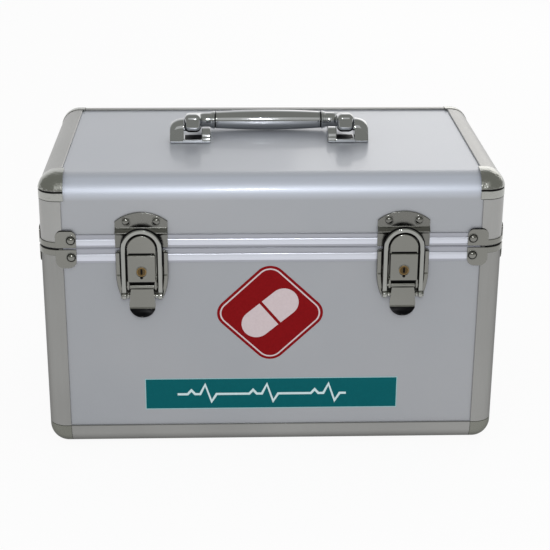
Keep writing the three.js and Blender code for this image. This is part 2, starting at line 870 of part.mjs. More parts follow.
// The outer ear slopes down in a quarter round from the arm to the mount's shoulder
function mountSlope(armOuter, base) {
  const slope = new THREE.Shape();
  const shoulder = mountDomeRadius - mountOuterShoulder;
  const middle = armOuter + overrun;
  slope.moveTo(armOuter - overrun, base - overrun);
  slope.lineTo(mountOuter, base - overrun);
  slope.absellipse(middle, shoulder, mountOuter - middle, mountOuterShoulder, 0, Math.PI / 2, false, 0);
  slope.lineTo(armOuter - overrun, mountDomeRadius);
  return plate(slope, -mountFront - overrun, mountFront + overrun);
}

// The folding handle, drawn in the plane of its arms, which lies above its pivot

function handleElbow() {
  const start = new THREE.Vector3(handleArmPlace, elbowStart, 0);
  const corner = new THREE.Vector3(handleArmPlace, handleReach, 0);
  const end = new THREE.Vector3(neckEnd, handleReach, 0);
  const bendStart = new THREE.Vector3(handleArmPlace, handleReach - elbowBend, 0);
  const bendEnd = new THREE.Vector3(handleArmPlace - elbowBend, handleReach, 0);
  const path = new THREE.CurvePath();
  path.add(new THREE.LineCurve3(start, bendStart));
  path.add(new THREE.QuadraticBezierCurve3(bendStart, corner, bendEnd));
  path.add(new THREE.LineCurve3(bendEnd, end));
  const section = new THREE.Shape();
  section.absarc(0, 0, elbowRadius, 0, 2 * Math.PI, false);
  return new THREE.ExtrudeGeometry(section, {
    steps: 2 * edgeFacets,
    curveSegments: smallFacets / 2 + 1,
    extrudePath: path,
  });
}

function handleGrip() {
  const beadOuter = neckEnd;
  const beadInner = neckEnd - gripBeadWidth;
  const barrelEnd = beadInner - gripGroove;
  const half = [
    [0, neckEnd + gripBeadWidth],
    [gripEndRadius, neckEnd + gripBeadWidth],
    [gripEndRadius, beadOuter],
    [gripBeadRadius, beadOuter - gripBeadWidth / 4],
    [gripBeadRadius, beadInner + gripBeadWidth / 4],
    [gripEndRadius - gripGroove / 2, beadInner],
    [gripEndRadius - gripGroove / 2, barrelEnd],
    [gripEndRadius + gripGroove / 2, barrelEnd - gripGroove],
  ];
  const swellShares = [0.75, 0.45, 0.2];
  swellShares.forEach((share) => {
    const radius = gripEndRadius + (gripRadius - gripEndRadius) * (1 - share ** 2);
    half.push([radius, barrelEnd * share]);
  });
  const left = half.map(([radius, place]) => new THREE.Vector2(radius, -place));
  const right = half.reverse().map(([radius, place]) => new THREE.Vector2(radius, place));
  const profile = [...left, ...right];
  return new THREE.LatheGeometry(profile, gripFacets).rotateZ(-Math.PI / 2).translate(0, handleReach, 0);
}

function handleArm() {
  const arm = new RoundedBoxGeometry(armWidth, armFront + armBack, armHeight, 1, armCorner);
  return arm.translate(handleArmPlace, (armBack - armFront) / 2, 0);
}

function handleBail() {
  const flat = join(
    handleArm(),
    handleArm().rotateY(Math.PI),
    handleElbow(),
    handleElbow().rotateY(Math.PI),
    handleGrip(),
  );
  const tilted = flat.translate(0, 0, armLift).rotateX((-handleTiltDegrees * Math.PI) / 180);
  const pinEnd = handleArmPlace + armWidth / 2 + mountPinDepth;
  return join(
    tilted,
    rod(handleArmPlace, pinEnd, 0, 0, handlePinRadius),
    rod(-pinEnd, -handleArmPlace, 0, 0, handlePinRadius),
  );
}

// Panels, lining, tray and pad

function wallPanel(length) {
  const low = panelMargin;
  const high = baseTop - baseRailHeight + railGrip - fitGap;
  return block(panelMargin, length - panelMargin, panelInset, panelInset + panelThickness, low, high);
}

function floorPanel() {
  const halfX = caseWidth / 2 - panelMargin;
  const halfY = caseDepth / 2 - panelMargin;
  return block(-halfX, halfX, -halfY, halfY, panelInset, panelInset + panelThickness);
}

const lidPanelLow = lidRailHeight - railGrip + fitGap;

function lidEndPanel() {
  const length = caseDepth - panelMargin;
  return block(panelMargin, length, panelInset, panelInset + panelThickness, lidPanelLow, lidHeight - panelMargin);
}

// The edge along the back of the lid, which stands as far out as the side edges do and caps the sheet's bend
function lidBackEdge() {
  const back = caseDepth / 2;
  const middle = back - edgeRadius;
  const bend = back - panelInset - lidBendRadius;
  const cappedRadius = lidBendRadius - panelThickness / 2;
  const shape = outline([
    [back - edgeFace, lidTop - panelThickness / 2],
    [back - edgeFace, lidHeight],
    [middle, lidHeight],
  ]);
  shape.absarc(middle, lidHeight - edgeRadius, edgeRadius, Math.PI / 2, 0, true);
  shape.lineTo(back, lidHeight - edgeFace);
  shape.lineTo(bend + cappedRadius, lidHeight - edgeFace);
  shape.absarc(bend, lidTop - lidBendRadius, cappedRadius, 0, Math.PI / 2, false);
  const halfWidth = caseWidth / 2 - lidCornerSize - fitGap;
  return bar(shape, -halfWidth, halfWidth, 2 * edgeFacets);
}

// The front, top and back of the lid in one bent sheet, with its back edge
function lidPanel() {
  const half = caseDepth / 2 - panelInset;
  const bend = half - lidBendRadius;
  const centre = lidTop - lidBendRadius;
  const innerRadius = lidBendRadius - panelThickness;
  const shape = new THREE.Shape();
  shape.moveTo(half, lidPanelLow);
  shape.absarc(bend, centre, lidBendRadius, 0, Math.PI / 2, false);
  shape.absarc(-bend, centre, lidBendRadius, Math.PI / 2, Math.PI, false);
  shape.lineTo(-half, lidPanelLow);
  shape.lineTo(panelThickness - half, lidPanelLow);
  shape.absarc(-bend, centre, innerRadius, Math.PI, Math.PI / 2, true);
  shape.absarc(bend, centre, innerRadius, Math.PI / 2, 0, true);
  shape.lineTo(half - panelThickness, lidPanelLow);
  const halfWidth = caseWidth / 2 - panelMargin;
  return join(bar(shape, -halfWidth, halfWidth, 2 * edgeFacets), lidBackEdge());
}

const liningTop = baseTop - baseRailHeight - fitGap;

function lining() {
  const halfX = caseWidth / 2;
  const halfY = caseDepth / 2;
  const box = block(
    liningOuter - halfX,
    halfX - liningOuter,
    liningOuter - halfY,
    halfY - liningOuter,
    liningOuter,
    liningTop,
  );
  const hollow = block(
    liningInner - halfX,
    halfX - liningInner,
    liningInner - halfY,
    halfY - liningInner,
    liningInner,
    liningTop + overrun,
  );
  return cut(box, hollow);
}

const flangeLow = liningTop + fitGap;
const flangeHigh = flangeLow + trayFlangeThickness;
const trayHalfX = caseWidth / 2 - liningInner - 2 * fitGap;
const trayHalfY = caseDepth / 2 - liningInner - 2 * fitGap;

function roundedRing(halfX, halfY, radius) {
  return roundedRectangle(-halfX, -halfY, halfX, halfY, [radius, radius, radius, radius]);
}

// One row of cells between two depths, cut from the top of the tray
function trayCells(count, near, far) {
  const inner = trayHalfX - trayWall;
  const pitch = (2 * inner + trayWall) / count;
  const radius = trayCornerRadius - trayWall;
  return Array.from({ length: count }, (unused, index) => {
    const left = index * pitch - inner;
    const cell = roundedRectangle(left, near, left + pitch - trayWall, far, [radius, radius, radius, radius]);
    return slab(cell, flangeHigh - trayDepth + trayWall, flangeHigh + overrun, edgeFacets / 2);
  });
}

function tray() {
  const low = flangeHigh - trayDepth;
  const body = slab(roundedRing(trayHalfX, trayHalfY, trayCornerRadius), low, flangeHigh, edgeFacets / 2);
  const ledge = roundedRing(trayHalfX + trayFlange, trayHalfY - trayWall / 2, trayCornerRadius);
  const flange = slab(ledge, flangeLow, flangeHigh, edgeFacets / 2);
  const halfWall = trayWall / 2;
  const far = trayHalfY - trayWall;
  const gripTop = flangeHigh + trayGripRise;
  const gripHalf = trayGripLength / 2;
  const gripFace = roundedRectangle(-gripHalf, flangeLow, gripHalf, gripTop, [0, 0, trayGripBar, trayGripBar]);
  const slotHalf = trayGripSlotLength / 2;
  const slotTop = gripTop - trayGripBar;
  const slot = rectangle(-slotHalf, slotTop - trayGripSlotHeight, slotHalf, slotTop);
  const shell = cut(
    join(body, flange),
    ...trayCells(trayFrontCells, -far, -halfWall),
    ...trayCells(trayBackCells, halfWall, far),
  );
  const grip = cut(plate(gripFace, -halfWall, halfWall), plate(slot, -overrun, overrun));
  return join(shell, grip);
}

function lidPad() {
  const top = lidTop - panelThickness - fitGap;
  const halfX = caseWidth / 2 - edgeFace - fitGap;
  const halfY = caseDepth / 2 - edgeFace - fitGap;
  return slab(roundedRing(halfX, halfY, trayCornerRadius), top - padThickness, top);
}

// Assembly

function latchGroup(side, height) {
  const group = new THREE.Group();
  group.position.set(side * latchPlace, -caseDepth / 2, height);
  return group;
}

function buildBase() {
  const base = new THREE.Group();
  sideLengths.forEach((length, index) => {
    const frame = sideFrame(index);
    const edgeStart = baseCornerSize + fitGap;
    frame.add(piece(sideNames[index] + "_panel", wallPanel(length), materials.panel));
    frame.add(piece("bottom_edge_" + sideNames[index], edgeAlong(edgeStart, length - edgeStart), materials.edge));
    frame.add(piece("corner_post_" + cornerNames[index], cornerPost(edgeStart, baseTop), materials.edge));
    frame.add(piece("bottom_corner_" + cornerNames[index], cornerShell(baseCornerSize, 0), materials.edge));
    frame.add(piece("base_clip_" + cornerNames[index], baseClip(index), materials.nickel));
    base.add(frame);
  });
  base.add(piece("floor_panel", floorPanel(), materials.panel));
  base.add(piece("base_rim_frame", baseRim(), materials.rail));
  base.add(piece("lining", lining(), materials.lining));
  base.add(piece("lift_out_tray", tray(), materials.tray));
  eachHand((hand, side) => {
    const latch = latchGroup(side, baseTop);
    latch.add(piece("latch_plate_" + hand, latchPlate(), materials.nickel));
    latch.add(piece("latch_lever_" + hand, latchLever(), materials.nickel));
    latch.add(piece("latch_bail_" + hand, latchBail(), materials.chrome));
    const cylinder = piece("lock_cylinder_" + hand, lockCylinder(), materials.brass);
    cylinder.position.z = -lockDepth;
    latch.add(cylinder);
    base.add(latch);
    const hinge = hingeGroup(side, seamHeight);
    hinge.add(piece("hinge_base_leaf_" + hand, hingeBaseLeaf(), materials.nickel));
    base.add(hinge);
  });
  return base;
}

function eachHand(action) {
  action("left", -1);
  action("right", 1);
}

function hingeGroup(side, height) {
  const group = new THREE.Group();
  group.position.set(side * hingePlace, caseDepth / 2 + hingeAxisReach, height);
  return group;
}

function buildLid() {
  const lid = new THREE.Group();
  lid.position.z = lidBottom;
  const postTop = lidHeight - lidCornerSize - fitGap;
  sideLengths.forEach((length, index) => {
    const frame = sideFrame(index);
    frame.add(piece("lid_post_" + cornerNames[index], cornerPost(0, postTop), materials.edge));
    const corner = piece("lid_corner_" + cornerNames[index], lidCorner(), materials.chrome);
    corner.position.z = lidHeight;
    frame.add(corner);
    frame.add(piece("lid_clip_" + cornerNames[index], lidClip(index), materials.nickel));
    if (length === caseDepth) {
      const start = lidCornerSize + fitGap;
      const edge = piece("lid_edge_" + sideNames[index], edgeAlong(start, length - start), materials.edge);
      edge.rotation.x = -Math.PI / 2;
      edge.position.z = lidHeight;
      frame.add(edge);
      frame.add(piece("lid_end_panel_" + sideNames[index], lidEndPanel(), materials.panel));
    }
    lid.add(frame);
  });
  lid.add(piece("lid_panel", lidPanel(), materials.panel));
  lid.add(piece("lid_rim_frame", lidRim(), materials.rail));
  lid.add(piece("lid_pad", lidPad(), materials.lining));
  const handle = new THREE.Group();
  handle.position.set(0, -handlePivotForward, lidTop + handlePivotHeight);
  handle.add(piece("handle", handleBail(), materials.chrome));
  eachHand((hand, side) => {
    const keeper = latchGroup(side, 0);
    keeper.add(piece("latch_keeper_" + hand, latchKeeper(), materials.nickel));
    lid.add(keeper);
    const hinge = hingeGroup(side, -seamGap / 2);
    hinge.add(piece("hinge_lid_leaf_" + hand, hingeLidLeaf(), materials.nickel));
    lid.add(hinge);
    const mount = piece("handle_mount_" + hand, handleMount(), materials.chrome);
    mount.rotation.z = side > 0 ? 0 : Math.PI;
    handle.add(mount);
  });
  lid.add(handle);
  return lid;
}

// The origin is under the middle of the whole footprint, latches and hinges included
const frontReach = leverFrontReach();
const backReach = hingeAxisReach + hingeKnuckleRadius;

function leverFrontReach() {
  const curlAngle = Math.asin(leverTipHeight / leverCurlRadius);
  return leverPivotReach + leverKnuckleRadius + leverCurlRadius * (1 - Math.cos(curlAngle));
}

const medicineCase = new THREE.Group();
medicineCase.name = "medicine_case";
medicineCase.position.y = (frontReach - backReach) / 2;
medicineCase.add(buildBase(), buildLid());

export default medicineCase;
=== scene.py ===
"""A lockable first-aid case in satin aluminium: its surfaces and finishes, a plain studio and the camera."""

import math

import bmesh
import bpy
import numpy as np
from mathutils import Matrix, Vector
from mathutils.geometry import tessellate_polygon


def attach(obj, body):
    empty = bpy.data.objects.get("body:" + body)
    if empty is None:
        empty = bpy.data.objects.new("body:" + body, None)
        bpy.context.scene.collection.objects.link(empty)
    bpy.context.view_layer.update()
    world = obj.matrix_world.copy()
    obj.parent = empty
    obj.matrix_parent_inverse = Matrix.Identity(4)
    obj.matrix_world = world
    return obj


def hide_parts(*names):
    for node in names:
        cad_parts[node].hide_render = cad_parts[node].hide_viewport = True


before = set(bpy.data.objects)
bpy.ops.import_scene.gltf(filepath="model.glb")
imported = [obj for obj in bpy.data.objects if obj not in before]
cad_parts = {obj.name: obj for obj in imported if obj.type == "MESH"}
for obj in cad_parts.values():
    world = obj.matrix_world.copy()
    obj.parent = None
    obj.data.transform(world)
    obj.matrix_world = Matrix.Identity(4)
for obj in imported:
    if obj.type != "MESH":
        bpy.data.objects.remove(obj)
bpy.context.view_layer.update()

# Sizes in millimetres, in the case's own frame: X across, Y from front to back, Z up from the underside
MM = 0.001
ROW_Y = 3.198941
WIDTH, DEPTH, HEIGHT = 356.0, 216.0, 226.0
FRONT = -DEPTH / 2
BASE_TOP, LID_BOTTOM = 168.0, 168.8
GAP = 0.3
PANEL_INSET, PANEL_THICKNESS = 1.5, 4.0
PANEL_FACE = FRONT + PANEL_INSET
LID_TOP = HEIGHT - PANEL_INSET
EDGE_RADIUS, EDGE_FACE, EDGE_DEPTH, EDGE_WALL = 15.0, 18.0, 7.0, 1.2
SLOT_INNER = EDGE_DEPTH - EDGE_WALL
BASE_CORNER, LID_CORNER = 18.0, 20.0
BASE_RAIL, LID_RAIL, RAIL_GRIP = 11.6, 10.4, 4
ARC_STEPS = 20
SIDES = ["front", "right", "back", "left"]
CORNERS = ["front_left", "front_right", "back_right", "back_left"]
LENGTHS = [WIDTH, DEPTH, WIDTH, DEPTH]
PLACES = [(-WIDTH / 2, FRONT), (WIDTH / 2, FRONT), (WIDTH / 2, -FRONT), (-WIDTH / 2, -FRONT)]
HANDS = {"left": -1, "right": 1}
LATCH_X, HINGE_X = 100.0, 105.0
SMOOTH_ANGLE = math.radians(42)
MERGE = 0.0005


# Solids


class Solid:
    """Points in millimetres and the faces between them."""

    def __init__(self, points, faces):
        self.points = np.array(points, float).reshape(-1, 3)
        self.faces = [tuple(face) for face in faces]

    def moved(self, x, y, z):
        return Solid(self.points + [x, y, z], self.faces)

    def turned(self, axis, degrees):
        matrix = np.array(Matrix.Rotation(math.radians(degrees), 3, axis))
        return Solid(self.points @ matrix.T, self.faces)

    def mirrored(self):
        return Solid(self.points * [-1, 1, 1], [face[::-1] for face in self.faces])

    def crossed(self):
        """The same with X and Y changed over."""
        return Solid(self.points[:, [1, 0, 2]], [face[::-1] for face in self.faces])


def together(*solids):
    points, faces, start = [], [], 0
    for solid in solids:
        points.append(solid.points)
        faces += [tuple(i + start for i in face) for face in solid.faces]
        start += len(solid.points)
    return Solid(np.concatenate(points), faces)


def loft(rings, closed=False):
    """Quads from ring to ring, with a cap at each end unless the rings close on themselves."""
    rings = [np.array(ring, float) for ring in rings]
    count, size = len(rings), len(rings[0])
    faces = []
    for i in range(count if closed else count - 1):
        a, b = i * size, ((i + 1) % count) * size
        for j in range(size):
            k = (j + 1) % size
            faces.append((a + j, a + k, b + k, b + j))
    if not closed:
        faces += [tuple(range(size))[::-1], tuple(range((count - 1) * size, count * size))]
    return Solid(np.concatenate(rings), faces)


def lift(outline, value, plane):
    """A flat outline placed in space: XY at a height, XZ at a depth, or YZ at a place across."""
    points = np.array(outline, float)
    fixed = np.full(len(points), value)
    order = {"XY": (points[:, 0], points[:, 1], fixed), "XZ": (points[:, 0], fixed, points[:, 1]),
             "YZ": (fixed, points[:, 0], points[:, 1])}[plane]
    return np.stack(order, 1)


def prism(outline, low, high, plane):
    return loft([lift(outline, low, plane), lift(outline, high, plane)])


def pierced(outline, holes, low, high, plane):
    """A prism with holes right through it."""
    loops = [list(outline)] + [list(hole) for hole in holes]
    flat = [point for loop in loops for point in loop]
    count = len(flat)
    caps = tessellate_polygon([[Vector((a, b, 0)) for a, b in loop] for loop in loops])
    faces = [tuple(cap) for cap in caps] + [tuple(i + count for i in cap[::-1]) for cap in caps]
    start = 0
    for loop in loops:
        for i in range(len(loop)):
            j = (i + 1) % len(loop)
            faces.append((start + i, start + j, start + j + count, start + i + count))
        start += len(loop)
    return Solid(np.concatenate([lift(flat, low, plane), lift(flat, high, plane)]), faces)


def block(x0, x1, y0, y1, z0, z1):
    return prism([(x0, y0), (x1, y0), (x1, y1), (x0, y1)], z0, z1, "XY")


def arc(cx, cy, radius, start, end, steps=ARC_STEPS, second=None):
    """Points round an arc, or round an ellipse when the second radius is given."""
    angles = np.radians(np.linspace(start, end, steps + 1))
    other = radius if second is None else second
    return [(cx + radius * math.cos(a), cy + other * math.sin(a)) for a in angles]


def rounded(left, bottom, right, top, radii, steps):
    """A rectangle with a radius at its lower left, lower right, upper right and upper left corner."""
    corners = [(left, bottom, 1, 1), (right, bottom, -1, 1), (right, top, -1, -1), (left, top, 1, -1)]
    points = []
    for (x, y, inward, up), radius, start in zip(corners, radii, (180, 270, 0, 90)):
        if radius:
            points += arc(x + inward * radius, y + up * radius, radius, start, start + 90, steps)
        else:
            points.append((x, y))
    return points


def lathe(profile, axis, steps=48):
    """A profile of radius and height, turned about the X or Y axis."""
    rings = []
    for angle in np.linspace(0, 2 * math.pi, steps, endpoint=False):
        c, s = math.cos(angle), math.sin(angle)
        if axis == "X":
            rings.append([(h, r * c, r * s) for r, h in profile])
        else:
            rings.append([(r * s, h, r * c) for r, h in profile])
    return loft(rings, closed=True)


def rod(x0, x1, y, z, radius, round_end=0.4):
    """A pin along X with rounded ends."""
    profile = [(0, x0), (radius - round_end, x0), (radius - 0.3 * round_end, x0 + 0.3 * round_end)]
    profile.append((radius, x0 + round_end))
    profile += [(r, x0 + x1 - x) for r, x in reversed(profile)]
    return lathe(profile, "X", 32).moved(0, y, z)


def bent(start, corner, end, steps):
    """Points on a curve that leaves its start towards a corner and comes to its end from there."""
    start, corner, end = (np.array(point, float) for point in (start, corner, end))
    shares = np.linspace(0, 1, steps + 1)
    return [(1 - t) ** 2 * start + 2 * t * (1 - t) * corner + t * t * end for t in shares]


def headings(path):
    """The unit direction of a path at each of its points."""
    ways = np.gradient(np.array(path, float), axis=0)
    return ways / np.linalg.norm(ways, axis=1)[:, None]


def tube(path, section):
    """A section, whose points lie across and up, carried along a level path."""
    rings = []
    for point, forward in zip(np.array(path, float), headings(path)):
        side = np.cross((0, 0, 1), forward)
        top = np.cross(forward, side)
        rings.append([point + a * side + b * top for a, b in section])
    return loft(rings)


def beveled(solid, width, steps, least=30.0):
    """The solid with its edges rounded where they are sharper than an angle in degrees."""
    bm = as_bmesh(solid)
    angle = math.radians(least)
    sharp = [edge for edge in bm.edges if edge.is_manifold and edge.calc_face_angle(0) > angle]
    bmesh.ops.bevel(bm, geom=sharp, offset=width, offset_type="OFFSET", segments=steps, profile=0.5,
                    affect="EDGES", clamp_overlap=True)
    bm.verts.index_update()
    points = [tuple(vertex.co) for vertex in bm.verts]
    faces = [tuple(vertex.index for vertex in face.verts) for face in bm.faces]
    bm.free()
    return Solid(points, faces)


def as_bmesh(solid):
    """A mesh of the solid, with points that coincide made one and all faces turned outward."""
    bm = bmesh.new()
    vertices = [bm.verts.new(point) for point in solid.points]
    for face in solid.faces:
        loop = [vertices[i] for i in face]
        if len(set(face)) == len(face) and bm.faces.get(loop) is None:
            bm.faces.new(loop)
    bmesh.ops.remove_doubles(bm, verts=bm.verts, dist=MERGE)
    bmesh.ops.dissolve_degenerate(bm, edges=bm.edges, dist=MERGE)
    bmesh.ops.recalc_face_normals(bm, faces=bm.faces)
    return bm


def at_side(solid, index):
    """Something drawn along the front from its left corner, taken round to a side of the case."""
    return solid.turned("Z", 90 * index).moved(*PLACES[index], 0)


def mirrored_pair(solids):
    """Some solids, and the same on the other side."""
    return [*solids, *(solid.mirrored() for solid in solids)]


def piece(name, solids, material, body, nodes=()):
    """A piece of the scene, made of one or more solids, that rides on a body and stands for CAD nodes."""
    bm = as_bmesh(together(*solids))
    for vertex in bm.verts:
        vertex.co = (vertex.co.x * MM, (vertex.co.y + ROW_Y) * MM, vertex.co.z * MM)
    bm.normal_update()
    for face in bm.faces:
        face.smooth = True
    for edge in bm.edges:
        edge.smooth = not edge.is_manifold or edge.calc_face_angle(0) < SMOOTH_ANGLE
    mesh = bpy.data.meshes.new(name)
    bm.to_mesh(mesh)
    bm.free()
    shown = bpy.data.objects.new(name, mesh)
    bpy.context.scene.collection.objects.link(shown)
    mesh.materials.append(material.data)
    weights = shown.modifiers.new("normals", "WEIGHTED_NORMAL")
    weights.keep_sharp = True
    weights.weight = 100
    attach(shown, body)
    if nodes:
        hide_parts(*nodes)
    return shown


def side_piece(name, solids, index, material, body, node=None, places=CORNERS):
    """A piece drawn along the front from its left corner, taken round to a side and named after its place."""
    nodes = [f"{node}_{places[index]}"] if node else []
    piece(f"{name}_{places[index]}", [at_side(solid, index) for solid in solids], material, body, nodes)


# Finishes

EVEN_GRAIN = (1, 1, 1)
PANEL_GRAIN = (1, 1, 0.25)
POST_GRAIN = (1, 1, 0.03)
RAIL_GRAIN = (0.03, 0.03, 1)
WHITE = (1, 1, 1, 1)


def srgb(red, green, blue):
    """A colour written as it shows on screen, from 0 to 255."""
    def linear(value):
        value /= 255
        return value / 12.92 if value <= 0.04045 else ((value + 0.055) / 1.055) ** 2.4
    return (linear(red), linear(green), linear(blue), 1.0)


def add_node(tree, kind, inputs, **settings):
    """A node with its settings made, and each input linked to a socket or given its value."""
    made = tree.nodes.new(kind)
    for key, value in settings.items():
        setattr(made, key, value)
    for key, value in inputs.items():
        if isinstance(value, bpy.types.NodeSocket):
            tree.links.new(value, made.inputs[key])
        else:
            made.inputs[key].default_value = value
    return made


def calculated(tree, operation, first, second=0.0):
    return add_node(tree, "ShaderNodeMath", {0: first, 1: second}, operation=operation).outputs[0]


def blended(tree, factor, first, second, blend="MIX"):
    inputs = {0: factor, 6: first, 7: second}
    return add_node(tree, "ShaderNodeMix", inputs, data_type="RGBA", blend_type=blend).outputs[2]


class Finish:
    """A node material: one Principled shader, with its colour, roughness and relief worked out from noise."""

    def __init__(self, name, slot, metallic, roughness, coat=0.0, specular=0.5):
        self.data = bpy.data.materials.new(name)
        self.slot = slot
        self.data.use_nodes = True
        self.tree = self.data.node_tree
        self.shader = self.tree.nodes["Principled BSDF"]
        values = {"Metallic": metallic, "Roughness": roughness, "Coat Weight": coat, "Coat Roughness": 0.1,
                  "Specular IOR Level": specular}
        for key, value in values.items():
            self.shader.inputs[key].default_value = value
        self.place = self.tree.nodes.new("ShaderNodeTexCoord").outputs["Object"]

    def height(self):
        return add_node(self.tree, "ShaderNodeSeparateXYZ", {0: self.place}).outputs["Z"]

    def noise(self, scale, stretch=EVEN_GRAIN, detail=4.0, roughness=0.55):
        mapped = add_node(self.tree, "ShaderNodeMapping", {"Vector": self.place, "Scale": stretch}).outputs[0]
        inputs = {"Vector": mapped, "Scale": scale, "Detail": detail, "Roughness": roughness}
        return add_node(self.tree, "ShaderNodeTexNoise", inputs).outputs["Fac"]

    def ranged(self, value, low, high, source=(0.3, 0.7)):
        inputs = {"Value": value, "From Min": source[0], "From Max": source[1], "To Min": low, "To Max": high}
        return add_node(self.tree, "ShaderNodeMapRange", inputs).outputs[0]

    def set_look(self, tone, low, high, grain, spread, depth):
        """The colour between two tones, the roughness and the relief, whose depth is in millimetres."""
        rough = self.shader.inputs["Roughness"]
        middle = rough.default_value
        inputs = {"Height": grain, "Distance": depth * MM, "Strength": 1.0}
        bump = add_node(self.tree, "ShaderNodeBump", inputs).outputs[0]
        color = blended(self.tree, self.ranged(tone, 0.0, 1.0), srgb(*low), srgb(*high))
        self.tree.links.new(color, self.shader.inputs["Base Color"])
        self.tree.links.new(self.ranged(grain, middle - spread, middle + spread), rough)
        self.tree.links.new(bump, self.shader.inputs["Normal"])
        return self

    def recolor(self, factor, color, blend="MIX"):
        """Mixes a colour into the one that the shader already has."""
        base = self.shader.inputs["Base Color"]
        self.tree.links.new(blended(self.tree, factor, base.links[0].from_socket, color, blend), base)


def metal_finish(name, slot, low, high, roughness, spread, scale, depth,
                 stretch=EVEN_GRAIN, metallic=1.0, coat=0.0):
    """A metal whose tone and roughness drift between two values, with a fine drawn grain."""
    made = Finish(name, slot, metallic, roughness, coat)
    grain = made.noise(scale, stretch, roughness=0.7)
    return made.set_look(made.noise(9.0, detail=2.0), low, high, grain, spread, depth)


def plain_finish(name, slot, low, high, roughness, scale, depth, specular=0.2, sheen=0.0):
    """A painted, printed, moulded or woven surface."""
    made = Finish(name, slot, 0.0, roughness, specular=specular)
    made.shader.inputs["Sheen Weight"].default_value = sheen
    fine = made.noise(scale, roughness=0.65)
    return made.set_look(fine, low, high, fine, 0.05, depth)


def print_finish(name, slot, low, high, specular=0.2):
    return plain_finish(name, slot, low, high, 0.5, 500, 0.008, specular)


def painted_shade_below(made, height, share):
    """Darkens a finish from a height, in millimetres, down to the ground, as painted shade at the foot of the
    case.
    """
    made.recolor(1.0, made.ranged(made.height(), share, 1.0, (0.0, height * MM)), "MULTIPLY")


def painted_highlight_between(made, rise, fall, kept, color):
    """Paints a highlight into a finish between two heights, given in millimetres with the spans it comes and
    goes over; above the upper span a kept share of it stays as a painted lighter top.
    """
    up = made.ranged(made.height(), 0.0, 1.0, (rise[0] * MM, rise[1] * MM))
    down = made.ranged(made.height(), 1.0, kept, (fall[0] * MM, fall[1] * MM))
    made.recolor(calculated(made.tree, "MULTIPLY", up, down), color)


def painted_highlight_bands(made, zones, color):
    """Paints highlights into a finish in two bands, given in millimetres as pairs of middle and half height.
    """
    soft = 0.3
    shares = []
    for middle, half in zones:
        offset = calculated(made.tree, "SUBTRACT", made.height(), middle * MM)
        away = calculated(made.tree, "ABSOLUTE", offset)
        shares.append(made.ranged(away, 1.0, 0.0, ((half - soft) * MM, (half + soft) * MM)))
    grain = made.ranged(made.noise(700.0, RAIL_GRAIN), 0.88, 1.0)
    share = calculated(made.tree, "MAXIMUM", *shares)
    made.recolor(calculated(made.tree, "MULTIPLY", share, grain), color)


panel_finish = metal_finish("faced_panel", "panel", (160, 163, 168), (165, 167, 171),
                            0.45, 0.03, 900, 0.01, PANEL_GRAIN, metallic=0.4, coat=0.32)
sheet_finish = metal_finish("bent_sheet", "panel", (164, 167, 172), (169, 171, 175),
                            0.45, 0.03, 900, 0.01, PANEL_GRAIN, metallic=0.4, coat=0.32)
# painted highlight along the lid's front rounding, and a painted lighter top above it
painted_highlight_between(sheet_finish, (206.0, 213.0), (221.5, 224.3), 0.34, srgb(200, 206, 218))
top_edge_finish = metal_finish("satin_top_edge", "edge", (158, 158, 156), (166, 166, 164),
                               0.36, 0.05, 700, 0.01, POST_GRAIN, metallic=0.5)
edge_finish = metal_finish("satin_extrusion", "edge", (143, 143, 141), (152, 152, 150),
                           0.33, 0.05, 700, 0.01, POST_GRAIN, metallic=0.9)
edge_finish.shader.inputs["Specular Tint"].default_value = (0.45, 0.45, 0.45, 1.0)
# painted shade towards the ground on the bottom edges
painted_shade_below(edge_finish, 11.0, 0.45)
corner_finish = metal_finish("pressed_corner", "edge", (118, 119, 112), (128, 129, 122),
                             0.28, 0.05, 500, 0.01, metallic=0.95)
corner_finish.shader.inputs["Specular Tint"].default_value = (0.5, 0.5, 0.5, 1.0)
# painted shade towards the ground on the bottom corners
painted_shade_below(corner_finish, 9.0, 0.5)
rail_finish = metal_finish("satin_rail", "rail", (166, 168, 176), (166, 168, 176),
                           0.34, 0.05, 700, 0.01, RAIL_GRAIN, metallic=0.7)
# painted highlights on the two rail beads
painted_highlight_bands(rail_finish, [(160.8, 2.6), (173.1, 2.5)], srgb(214, 217, 227))
keeper_finish = metal_finish("dull_nickel", "nickel", (112, 112, 108), (124, 124, 120),
                             0.24, 0.05, 500, 0.008)
nickel_finish = metal_finish("nickel_plate", "nickel", (126, 126, 121), (137, 137, 132),
                             0.2, 0.05, 500, 0.008)
bright_finish = metal_finish("bright_nickel", "chrome", (150, 151, 147), (160, 161, 157),
                             0.1, 0.03, 300, 0.004)
chrome_finish = metal_finish("bright_chrome", "chrome", (176, 178, 180), (186, 188, 190),
                             0.07, 0.02, 240, 0.003)
ball_finish = metal_finish("pressed_chrome", "chrome", (156, 157, 152), (170, 171, 167),
                           0.2, 0.04, 55.0, 1.2)
brass_finish = metal_finish("turned_brass", "brass", (132, 108, 70), (156, 130, 88),
                            0.2, 0.06, 900, 0.01)
plug_finish = metal_finish("dull_brass", "brass", (84, 70, 48), (112, 94, 66), 0.3, 0.06, 900, 0.01)
red_finish = print_finish("badge_red", "print_red", (126, 8, 14), (136, 12, 18), 0.08)
pale_finish = print_finish("badge_pale", "print_red", (205, 190, 192), (212, 198, 200))
teal_finish = print_finish("band_teal", "print_teal", (2, 91, 97), (4, 96, 102), 0.08)
cyan_finish = print_finish("band_edge", "print_teal", (150, 195, 198), (160, 202, 204))
mark_finish = print_finish("band_mark", "print_teal", (205, 226, 228), (212, 232, 234))
foam_finish = plain_finish("dark_lining", "lining", (46, 47, 51), (66, 67, 72), 0.92, 1400, 0.12, sheen=0.3)
tray_finish = plain_finish("moulded_tray", "tray", (205, 208, 211), (213, 216, 219), 0.5, 1600, 0.03, 0.4)
